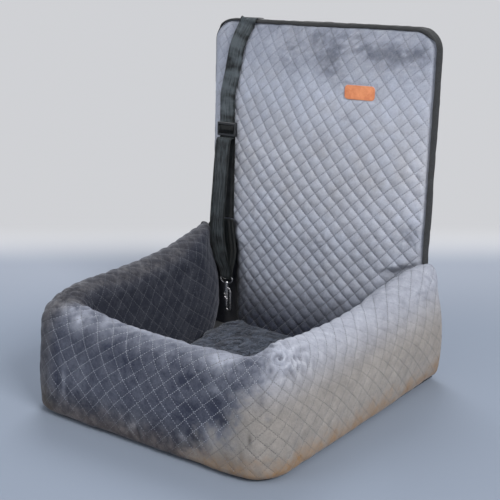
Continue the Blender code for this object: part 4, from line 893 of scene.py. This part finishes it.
def catmull(route, step):
    """Points at even steps along a smooth curve through a route of (x, y, z, width, ...)."""
    p = np.array(route, float)
    p = np.vstack([2 * p[0] - p[1], p, 2 * p[-1] - p[-2]])
    fine = []
    for a, b, c, d in zip(p, p[1:], p[2:], p[3:]):
        knots = np.maximum(np.linalg.norm(np.diff([a[:3], b[:3], c[:3], d[:3]], axis=0), axis=1), 1e-6) ** 0.5
        t0, t1 = 0.0, knots[0]
        t2, t3 = t1 + knots[1], t1 + knots[1] + knots[2]
        for t in np.linspace(t1, t2, 12, endpoint=False):
            a1 = (t1 - t) / (t1 - t0) * a + (t - t0) / (t1 - t0) * b
            a2 = (t2 - t) / (t2 - t1) * b + (t - t1) / (t2 - t1) * c
            a3 = (t3 - t) / (t3 - t2) * c + (t - t2) / (t3 - t2) * d
            b1 = (t2 - t) / (t2 - t0) * a1 + (t - t0) / (t2 - t0) * a2
            b2 = (t3 - t) / (t3 - t1) * a2 + (t - t1) / (t3 - t1) * a3
            fine.append((t2 - t) / (t2 - t1) * b1 + (t - t1) / (t2 - t1) * b2)
    fine = np.array(fine + [p[-2]])
    reach = reach_along(fine[:, :3])
    at = np.linspace(0, reach[-1], max(int(reach[-1] / step), 2) + 1)
    return at, np.stack([np.interp(at, reach, fine[:, k]) for k in range(fine.shape[1])], 1)


RIBBON_ACROSS = 16


def ribbon(name, route, leaned=False, step=0.002):
    """A flat strap with a soft rounded edge along a route. Its width lies across."""
    reach, line = catmull(route, step)
    if leaned:
        line[:, :3] = lean(line[:, :3])
    along = unit(np.gradient(line[:, :3], axis=0))
    wide = np.tile([1.0, 0.0, 0.0], (len(line), 1))
    wide = unit(wide - along * (wide * along).sum(1, keepdims=True))
    face = np.cross(wide, along)
    half_t = WEBBING_THICKNESS / 2
    section = [(-1 + 2 * k / RIBBON_ACROSS, 1.0) for k in range(RIBBON_ACROSS + 1)]
    section += [(1 - 2 * k / RIBBON_ACROSS, -1.0) for k in range(RIBBON_ACROSS + 1)]
    ring = []
    for s, side in section:
        rounding = min(1.0, (1 - abs(s)) * 12 + 0.25)
        offset = wide * (line[:, 3:4] / 2 * s) + face * (half_t * side * rounding)
        ring.append(line[:, :3] + offset)
    points = np.stack(ring, 1)
    s = np.array([p[0] for p in section]) * WEBBING_WIDTH / 2
    return tube_mesh(name, points, np.stack(np.broadcast_arrays(s[None], reach[:, None]), -1))


def build_base():
    """The flat base cloth under the whole bed, with a turned, slightly wavy edge."""
    _, table = wall_stations(step=0.008)
    edge = table[:, :2] + table[:, 2:4] * (table[:, 4:5] - BASE_INSET)
    rear = np.linspace(-BASE_REAR_HALF, BASE_REAR_HALF, 60)
    edge = np.concatenate([edge, np.stack([rear, np.full(60, BASE_REAR_Y)], 1)])
    centre = np.array([0.0, 0.02])
    rings = [(0.0, share) for share in (0.05, 0.3, 0.6, 0.85, 0.95)]
    rings += [(0.0, 0.988), (0.0005, 0.995), (0.0014, 0.9985), (0.0024, 0.9985), (0.0034, 0.995), (0.0040, 0.988)]
    rings += [(0.0040, share) for share in (0.95, 0.85, 0.6, 0.3, 0.05)]
    layers = []
    for z, share in rings:
        place = centre + (edge - centre) * share
        ripple = 0.0003 * noise(pile3(place[:, 0], place[:, 1], z), 0.03, 61)
        layers.append(pile3(place[:, 0], place[:, 1], z + np.where(z < 0.002, 1, -1) * (0.0003 + ripple)))
    points = np.stack(layers)
    return tube_mesh("base_cloth", points, points[..., :2], turned=True)


def belt_loop_route(side):
    """One loop on the back: sewn flat at both ends, and standing off between them."""
    skin = PANEL_FRONT_Y + QUILT_BACKING + 3 * GAP + BOARD_THICKNESS + REAR_CLOTH_THICKNESS
    skin = skin + REAR_CLOTH_RIPPLE + WEBBING_THICKNESS / 2
    low, high, tab, rise = LOOP_LOW_Z, LOOP_LOW_Z + LOOP_HEIGHT, LOOP_TAB, LOOP_RISE
    half = ((0.0, 0.0), (0.0, 0.5), (0.0002, 1.0), (0.40 * rise, 1.35), (0.86 * rise, 1.9))
    shape = [(y, low + tabs * tab) for y, tabs in half] + [(rise, (low + high) / 2)]
    shape += [(y, high - tabs * tab) for y, tabs in half[::-1]]
    return [(side * LOOP_X, skin + y, z, WEBBING_WIDTH) for y, z in shape]


def build_spring():
    """The bolt's return spring: one coil of round wire, as long as the source's."""
    low, high = (Vector(p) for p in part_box("hook_spring"))
    wire, per_turn = SPRING_WIRE, 24
    radius = (high.x - low.x) / 2 - wire
    centre = (low + high) / 2
    angle = np.linspace(0, 2 * math.pi * SPRING_TURNS, SPRING_TURNS * per_turn + 1)
    z = np.linspace(high.z - wire, low.z + wire, len(angle))
    points = []
    for around in np.linspace(0, 2 * math.pi, 9)[:-1]:
        out = radius + wire * math.cos(around)
        x, y = centre.x + out * np.cos(angle), centre.y + out * np.sin(angle)
        points.append(pile3(x, y, z + wire * math.sin(around)))
    return tube_mesh("return_spring", np.stack(points, 1), None)


def glide_band_route():
    """The webbing's turn over the slide's bar, which stands out of its window."""
    shape = (
        (0.0088, 0.0022), (0.0078, 0.0030), (0.0050, 0.0056), (0.0010, 0.0066),
        (-0.0030, 0.0056), (-0.0070, 0.0030), (-0.0088, 0.0022),
    )
    return [(TETHER_X, glide_y() - y, GLIDE_Z + z, 0.0385) for z, y in shape]


# Materials


def feed(tree, slot_in, value):
    """Gives a node's input a signal, a socket, a colour or a number."""
    value = getattr(value, "socket", value)
    if isinstance(value, bpy.types.NodeSocket):
        tree.links.new(value, slot_in)
    else:
        slot_in.default_value = (*value, 1) if isinstance(value, tuple) else value


def add_node(tree, kind, inputs=None, **settings):
    node = tree.nodes.new("ShaderNode" + kind)
    for key, value in settings.items():
        setattr(node, key, value)
    for key, value in (inputs or {}).items():
        feed(tree, node.inputs[key], value)
    return node


class Signal:
    """A number that runs through a node tree, with ordinary arithmetic."""

    def __init__(self, tree, socket):
        self.tree, self.socket = tree, socket

    def math(self, operation, *others, clamp=False):
        inputs = dict(enumerate((self, *others)))
        return Signal(self.tree, add_node(self.tree, "Math", inputs, operation=operation, use_clamp=clamp).outputs[0])

    __add__, __sub__ = partialmethod(math, "ADD"), partialmethod(math, "SUBTRACT")
    __mul__, __truediv__ = partialmethod(math, "MULTIPLY"), partialmethod(math, "DIVIDE")
    size, clamped = partialmethod(math, "ABSOLUTE"), partialmethod(math, "ADD", 0.0, clamp=True)

    def wave(self, length):
        """A sine with this wavelength."""
        return (self * (2 * math.pi / length)).math("SINE")

    def step(self, low, high):
        """Smoothly from 0 at low to 1 at high. It runs down where low is above high."""
        ends = (1.0, 0.0) if low > high else (0.0, 1.0)
        inputs = {"Value": self, "From Min": min(low, high), "From Max": max(low, high)}
        inputs |= {"To Min": ends[0], "To Max": ends[1]}
        node = add_node(self.tree, "MapRange", inputs, interpolation_type="SMOOTHSTEP")
        return Signal(self.tree, node.outputs["Result"])


class Surface:
    """A material and the few kinds of node that these materials are made of."""

    def __init__(self, name, colour, roughness, metallic=0.0):
        self.mat = bpy.data.materials.new(name)
        self.mat.use_nodes = True
        self.tree = self.mat.node_tree
        self.shader = self.tree.nodes["Principled BSDF"]
        self.set({"Base Color": colour, "Roughness": roughness, "Metallic": metallic})

    def set(self, values):
        for socket, value in values.items():
            feed(self.tree, self.shader.inputs[socket], value)

    def node(self, kind, inputs=None, output=0, **settings):
        return add_node(self.tree, kind, inputs, **settings).outputs[output]

    def coordinates(self, kind="Object"):
        return self.node("TexCoord", output=kind)

    def flat(self, kind="UV"):
        """The first two coordinates: over the cloth, or those of another kind."""
        node = add_node(self.tree, "SeparateXYZ", {0: self.coordinates(kind)})
        return [Signal(self.tree, out) for out in node.outputs[:2]]

    def join(self, x, y, z=0.0):
        return self.node("CombineXYZ", {0: x, 1: y, 2: z})

    def attribute(self, name):
        return Signal(self.tree, self.node("Attribute", output="Fac", attribute_name=name))

    def noise(self, vector, scale, detail=3.0, rough=0.55, distortion=0.0):
        """Noise around 0, from about -0.5 to 0.5."""
        inputs = {"Vector": vector, "Scale": scale, "Detail": detail, "Roughness": rough, "Distortion": distortion}
        return Signal(self.tree, self.node("TexNoise", inputs)) - 0.5

    def blend(self, share, a, b):
        """Colour a where share is 0 and b where it is 1."""
        return self.node("Mix", {0: share, 6: a, 7: b}, 2, data_type="RGBA")

    def scaled(self, colour, factor):
        """The colour times a number."""
        return self.node("VectorMath", {0: colour, "Scale": factor}, operation="SCALE")

    def bump(self, height, distance=0.001, strength=1.0):
        self.set({"Normal": self.node("Bump", {"Distance": distance, "Strength": strength, "Height": height})})


WARM_DARK, WARM_PALE = (0.020, 0.018, 0.018), (0.400, 0.372, 0.345)
COOL_DARK, COOL_PALE = (0.012, 0.018, 0.042), (0.445, 0.475, 0.560)
SOIL_AND_BOUNCE, THREAD_PALE, THREAD_DARK = (0.215, 0.132, 0.068), (0.33, 0.35, 0.40), (0.095, 0.093, 0.092)
PILE_SCALE = 620
VELVET = {"Sheen Roughness": 0.40, "Sheen Tint": (0.84, 0.88, 1.0), "Specular IOR Level": 0.2}


def quilted_velvet(name, groove_width=0.0020, groove_shade=-0.08, pitch=0.0050):
    """Velvet quilted in squares by dotted stitching. Its mesh says how its nap lies, where light and shade are painted
    on it, and where it is soiled and tinted by painted warm bounce.
    """
    surface = Surface(name, WARM_PALE, 0.85)
    u, v = surface.flat()
    place = surface.coordinates()
    side = QUILT_DIAGONAL / math.sqrt(2)
    lines, grooves = [], []
    for sign in (1, -1):
        across = (u + v * sign) / QUILT_DIAGONAL
        away = (across - across.math("ROUND")).size() * side
        along = (u - v * sign) * (math.sqrt(0.5) / pitch)
        dash = (along.math("FRACT") - 0.5).size().step(0.30, 0.20)
        share = 1.0 if sign > 0 else surface.attribute("cross")
        lines.append(away.step(0.00095, 0.0004) * dash * share)
        grooves.append(away.step(groove_width, 0.0) * share)
    stitch = lines[0].math("MAXIMUM", lines[1])
    groove = grooves[0].math("MAXIMUM", grooves[1])
    wide = surface.noise(place, 17, 4, 0.6, 1.6)
    streak = surface.noise(place, 65, 4, 0.7, 2.2)
    pile = surface.noise(place, PILE_SCALE, 2, 0.6)
    shows = surface.attribute("thread")
    mottle = surface.noise(place, 190, 4, 0.65, 1.0)
    base = surface.attribute("tone")
    tone = (base + wide * 0.14 + (streak * 0.30 + mottle * 0.26) * (base * 0.45 + 0.72)).clamped()
    cool = surface.attribute("cool").clamped()
    dark = surface.blend(cool, WARM_DARK, COOL_DARK)
    pale = surface.blend(cool, WARM_PALE, COOL_PALE)
    colour = surface.blend(tone, dark, pale)
    shade = (pile * 0.30 + 1.0) * (groove * groove_shade * shows + 1.0)
    colour = surface.scaled(colour, shade)
    # Warm brown, partly soil and partly painted warm bounce light.
    dirt_and_bounce = (surface.attribute("soil_and_bounce") * (streak * 1.2 + mottle * 0.8 + 1.0)).clamped()
    colour = surface.blend(dirt_and_bounce, colour, SOIL_AND_BOUNCE)
    thread = surface.blend(tone.step(0.18, 0.48), THREAD_PALE, THREAD_DARK)
    colour = surface.blend(stitch * shows * 0.90, colour, thread)
    # Painted shade: the colour is darkened as far as the mesh asks.
    colour = surface.scaled(colour, surface.attribute("painted_shade") * -1.0 + 1.0)
    surface.set({"Base Color": colour, "Sheen Weight": 0.20, **VELVET})
    relief = groove * shows * -0.5 + stitch * shows * -0.7 + pile * 0.55 + streak * 0.5 + mottle * 0.5
    surface.bump(relief, 0.0009, 0.8)
    return surface.mat


def plain_velvet(name, dark, pale):
    """The seat's unquilted velvet, blotched by its brushed nap, with painted sheen along creases."""
    surface = Surface(name, dark, 0.84)
    place = surface.coordinates()
    wide = surface.noise(place, 19, 4, 0.62, 2.0)
    streak = surface.noise(place, 52, 4, 0.65, 2.4)
    pile = surface.noise(place, PILE_SCALE, 2, 0.6)
    # Painted sheen: thin pale lines, like light caught along creases.
    crease_sheen = (surface.noise(place, 34, 2, 0.5, 3.0).size() * -16 + 1.0).clamped()
    colour = surface.blend((wide * 2.2 + streak * 1.4 + crease_sheen * 0.34 + 0.20).clamped(), dark, pale)
    surface.set({"Base Color": surface.scaled(colour, pile * 0.34 + 1.0), "Sheen Weight": 0.18, **VELVET})
    surface.bump(pile * 0.5 + streak * 0.6 + wide * 0.8, 0.0012, 0.8)
    return surface.mat


HERRINGBONE = 0.0098  # the width of one band


def webbing_material(name, colour, pale):
    """Herringbone nylon webbing: fine ribs along the strap, in four bands, under painted satin highlights and painted
    shade.
    """
    surface = Surface(name, colour, 0.52)
    u, v = surface.flat()
    band = (u / HERRINGBONE).math("FRACT")
    off = (band - 0.5).size()
    slant = off * HERRINGBONE
    rib = (v + slant).wave(0.0017)
    cross = u.wave(0.0012)
    seam = off.step(0.42, 0.5)
    # Painted satin light: a glow along the strap and paler stretches, stronger on its upper part, which is painted lit,
    # with painted shade at its edges.
    edge = u.size().step(0.012, 0.020)
    glow = surface.noise(surface.join(u * 5.0, v * 0.55), 60, 2, 0.5)
    bright = surface.noise(surface.join(u * 0.4, v, 3.0), 42, 2, 0.5)
    upper = v.step(0.30, 0.24)
    share = rib * 0.16 + glow * 1.5 + seam * -0.22 + edge * -0.45 + bright * (upper * 2.2 + 0.8) + upper * 0.36
    # From about the hook's eye on, up the layer behind, painted shade makes it nearly black; it is darker at its sewn
    # end too.
    share = (share + 0.34).clamped() * (v.step(0.60, 0.65) * -0.9 + 1.0) * v.step(0.010, 0.030)
    surface.set({"Base Color": surface.blend(share, colour, pale), "Specular IOR Level": 0.12})
    surface.set({"Sheen Weight": 0.02, "Sheen Roughness": 0.3, "Anisotropic": 0.4})
    surface.bump(rib * 0.5 + cross * 0.25 + seam * -1.2 + glow * 0.6, 0.0005, 0.7)
    return surface.mat


def cloth_material(name, colour, pale, pitch=0.0014):
    """Plain black binding cloth, with a visible weave and worn, paler patches."""
    surface = Surface(name, colour, 0.72)
    u, v = surface.flat()
    place = surface.coordinates()
    weave = u.wave(pitch) * v.wave(pitch)
    wear = surface.noise(place, 70, 4, 0.6, 0.6)
    share = (weave * 0.16 + wear * 1.1 + 0.30).clamped()
    surface.set({"Base Color": surface.blend(share, colour, pale), "Sheen Weight": 0.05, "Specular IOR Level": 0.3})
    surface.bump(weave * 0.5 + wear * 1.4, 0.0006, 0.8)
    return surface.mat


def leather_material(name):
    """The bare tan label: grained, with a pressed edge and a row of stitches."""
    surface = Surface(name, (0.78, 0.27, 0.095), 0.46)
    place = surface.coordinates()
    x, y = surface.flat()
    grain = surface.noise(place, 900, 3, 0.6)
    wear = surface.noise(place, 60, 3, 0.6, 0.5)
    dx = (x.size() - (LABEL_WIDTH / 2 - LABEL_CORNER)).math("MAXIMUM", 0.0)
    dy = (y.size() - (LABEL_HEIGHT / 2 - LABEL_CORNER)).math("MAXIMUM", 0.0)
    rim = (dx * dx + dy * dy).math("SQRT")
    line = (rim - (LABEL_CORNER - 0.0026)).size()
    dash = ((x + y) * (1 / 0.0030)).math("FRACT")
    stitch = line.step(0.0005, 0.0002) * (dash - 0.5).size().step(0.36, 0.28)
    edge = rim.step(LABEL_CORNER - 0.0012, LABEL_CORNER)
    colour = surface.blend((wear * 1.8 + grain * 0.8 + 0.4).clamped(), (0.62, 0.175, 0.06), (0.86, 0.34, 0.14))
    colour = surface.blend(edge * 0.6, colour, (0.36, 0.10, 0.04))
    colour = surface.blend(stitch * 0.8, colour, (0.52, 0.15, 0.05))
    surface.set({"Base Color": colour, "Specular IOR Level": 0.4})
    surface.bump(grain * 0.5 + line.step(0.0009, 0.0) * -0.8 + stitch * 0.7, 0.0005, 0.8)
    return surface.mat


def plastic_material(name):
    """Moulded black plastic, glossy with a fine satin texture and scuffed edges."""
    surface = Surface(name, (0.010, 0.011, 0.013), 0.18)
    place = surface.coordinates()
    scuff = surface.noise(place, 140, 4, 0.65)
    grain = surface.noise(place, 1800, 2, 0.5)
    colour = surface.blend((scuff * 0.8 + 0.2).clamped(), (0.003, 0.0035, 0.004), (0.010, 0.012, 0.014))
    surface.set({"Base Color": colour, "Roughness": (scuff * 0.35 + 0.20).clamped()})
    surface.set({"Coat Weight": 0.6, "Coat Roughness": 0.1})
    surface.bump(grain * 0.5 + scuff * 0.4, 0.0003, 0.4)
    return surface.mat


def chrome_material(name):
    """Cast and plated metal: bright, with slight waviness and dull spots."""
    surface = Surface(name, (0.80, 0.81, 0.83), 0.20, 1.0)
    place = surface.coordinates()
    cast = surface.noise(place, 160, 3, 0.55)
    spots = surface.noise(place, 520, 3, 0.6)
    colour = surface.blend((spots * 0.9 + 0.55).clamped(), (0.68, 0.68, 0.69), (0.96, 0.96, 0.97))
    surface.set({"Base Color": colour, "Roughness": (cast * 0.20 + spots * 0.12 + 0.20).clamped()})
    surface.bump(cast * 0.8 + spots * 0.2, 0.0005, 0.5)
    return surface.mat


wall_velvet = quilted_velvet("wall_velvet")
panel_velvet = quilted_velvet("panel_velvet", 0.0026, -0.20)
seat_velvet = plain_velvet("seat_velvet", (0.009, 0.012, 0.020), (0.108, 0.129, 0.173))
black_cloth = cloth_material("black_cloth", (0.006, 0.007, 0.008), (0.026, 0.029, 0.033))
lining_cloth = cloth_material("lining_cloth", (0.011, 0.012, 0.014), (0.038, 0.041, 0.046), 0.0022)
black_webbing = webbing_material("black_webbing", (0.005, 0.007, 0.008), (0.090, 0.108, 0.120))
# A darker copy of the same webbing, painted shade, for the layers behind, the slide's band and the belt loops.
shaded_webbing = webbing_material("shaded_webbing", (0.003, 0.004, 0.005), (0.014, 0.017, 0.019))
leather = leather_material("label_leather")
plastic = plastic_material("black_plastic")
chrome = chrome_material("chrome_plate")


def paint(obj, mat):
    obj.data.materials.clear()
    obj.data.materials.append(mat)


# Assembly

walls = build_walls()
paint(walls, wall_velvet)
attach(walls, "bed")
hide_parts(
    "left_bolster_cover", "front_bolster_cover", "right_bolster_cover",
    "left_bolster_filling", "front_bolster_filling", "right_bolster_filling",
)

panel = build_panel()
paint(panel, panel_velvet)
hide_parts("back_lower_quilt", "back_upper_quilt")
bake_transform(panel)

binding = build_binding()
paint(binding, black_cloth)
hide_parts("back_upper_binding", "back_lower_left_binding", "back_lower_right_binding")
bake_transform(binding)

rear = build_rear_cloth()
paint(rear, lining_cloth)
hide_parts("back_upper_rear_cloth", "back_lower_rear_cloth")
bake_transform(rear)

cushion = build_cushion()
paint(cushion, seat_velvet)
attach(cushion, "cushion")
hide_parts("cushion_cover", "cushion_filling")

strap = ribbon("tether_strap", strap_route(), leaned=True)
paint(strap, black_webbing)
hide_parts("tether_upper_webbing", "tether_loop_webbing")
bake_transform(strap)

back_z = np.linspace(GLIDE_Z - GLIDE_HEIGHT / 2 - 0.0006, FOLD_Z + 0.004, 7)
back_route = [(TETHER_X, on_quilt(FOLD_Z), z, WEBBING_WIDTH) for z in back_z]
back_strap = ribbon("tether_back", back_route, leaned=True)
paint(back_strap, shaded_webbing)
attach(back_strap, "tri_glide")
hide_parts("tether_back_webbing")

band = ribbon("glide_band", glide_band_route(), leaned=True, step=0.0008)
paint(band, shaded_webbing)
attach(band, "tri_glide")

spring = build_spring()
paint(spring, chrome)
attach(spring, "hook")
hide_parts("hook_spring")
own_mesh(spring)

for side, name in ((-1, "left_belt_loop"), (1, "right_belt_loop")):
    loop = ribbon("sewn_" + name, belt_loop_route(side))
    paint(loop, shaded_webbing)
    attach(loop, "bed")
    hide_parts(name)

base = build_base()
paint(base, lining_cloth)
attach(base, "bed")
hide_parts("base_panel")

label = build_label()
paint(label, leather)
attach(label, "back_upper")
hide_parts("label_patch")

for node, mat in (
    ("back_lower_board", lining_cloth), ("back_upper_board", lining_cloth),
    ("tri_glide", plastic), ("hook_eye", chrome), ("hook_body", chrome), ("hook_trigger", chrome),
):
    paint(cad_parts[node], mat)


# Camera, floor and light

camera = bpy.data.objects.new("camera", bpy.data.cameras.new("camera"))
bpy.context.scene.collection.objects.link(camera)
camera.data.lens = 72.886
camera.data.sensor_width = 36
camera.location = (1.09787526, -1.52546626, 0.8561479)
camera.rotation_euler = (math.radians(73.35), 0, math.radians(34.86))
bpy.context.scene.camera = camera

PALE, BLUE, HAZE = (0.630, 0.638, 0.663), (0.222, 0.258, 0.320), (0.285, 0.314, 0.372)


def seen_directly(tree):
    """1 for rays from the camera, and for those off gloss and through glass, else 0."""
    ray = add_node(tree, "LightPath").outputs
    seen = Signal(tree, ray["Is Camera Ray"]).math("MAXIMUM", Signal(tree, ray["Is Glossy Ray"]))
    return seen.math("MAXIMUM", Signal(tree, ray["Is Transmission Ray"]))


def floor_material():
    """Blue-grey under the object, pale further off behind and before it, where it shows its own colour."""
    surface = Surface("floor_paint", BLUE, 0.7)
    tree = surface.tree
    x, y = surface.flat("Object")
    turn = camera.rotation_euler[2]
    away = y * math.cos(turn) - x * math.sin(turn)
    away = away.math("MAXIMUM", away * -0.7)
    far = away.step(0.82, 1.28)
    near = surface.blend(away.step(0.25, 0.85), BLUE, HAZE)
    surface.set({"Base Color": surface.blend(far, near, PALE), "Specular IOR Level": 0.1})
    glow = surface.node("Emission", {"Color": PALE})
    mixed = surface.node("MixShader", {0: seen_directly(tree) * far, 1: surface.shader.outputs[0], 2: glow})
    feed(tree, tree.nodes["Material Output"].inputs["Surface"], mixed)
    return surface.mat


floor = mesh_object("floor", [(-40, -40, 0), (40, -40, 0), (40, 40, 0), (-40, 40, 0)], [(0, 1, 2, 3)])
paint(floor, floor_material())


def area_light(name, place, target, size, power, colour=(1, 1, 1)):
    data = bpy.data.lights.new(name, "AREA")
    data.shape, data.size, data.size_y = "RECTANGLE", size[0], size[1]
    data.energy, data.color = power, colour
    lamp = bpy.data.objects.new(name, data)
    lamp.location = place
    lamp.rotation_euler = (Vector(target) - Vector(place)).to_track_quat("-Z", "Y").to_euler()
    bpy.context.scene.collection.objects.link(lamp)
    return lamp


area_light("key", (5.0, -1.8, 4.0), (0, 0, 0.25), (2.6, 2.6), 380, (1.0, 0.985, 0.97))
area_light("fill", (-3.0, -4.4, 3.0), (0, 0, 0.3), (3.0, 3.0), 70, (0.93, 0.96, 1.0))
area_light("top", (-1.8, 2.6, 4.6), (0, 0, 0.2), (2.4, 2.4), 150, (0.97, 0.98, 1.0))
# A strip that shows in metal and gloss alone
glint = area_light("glint", (0.5, -2.2, 2.4), (-0.2, 0.25, 0.2), (0.5, 1.8), 260)
glint.visible_diffuse = False

world = bpy.data.worlds.new("studio")
world.use_nodes = True
bpy.context.scene.world = world
tree = world.node_tree
background = tree.nodes["Background"]
background.inputs["Color"].default_value = (0.92, 0.95, 1.0, 1)
background.inputs["Strength"].default_value = 0.55
backdrop = add_node(tree, "Background", {"Color": PALE}).outputs[0]
mixed = add_node(tree, "MixShader", {0: seen_directly(tree), 1: background.outputs[0], 2: backdrop}).outputs[0]
feed(tree, tree.nodes["World Output"].inputs["Surface"], mixed)
bpy.context.scene.view_settings.view_transform = "Standard"
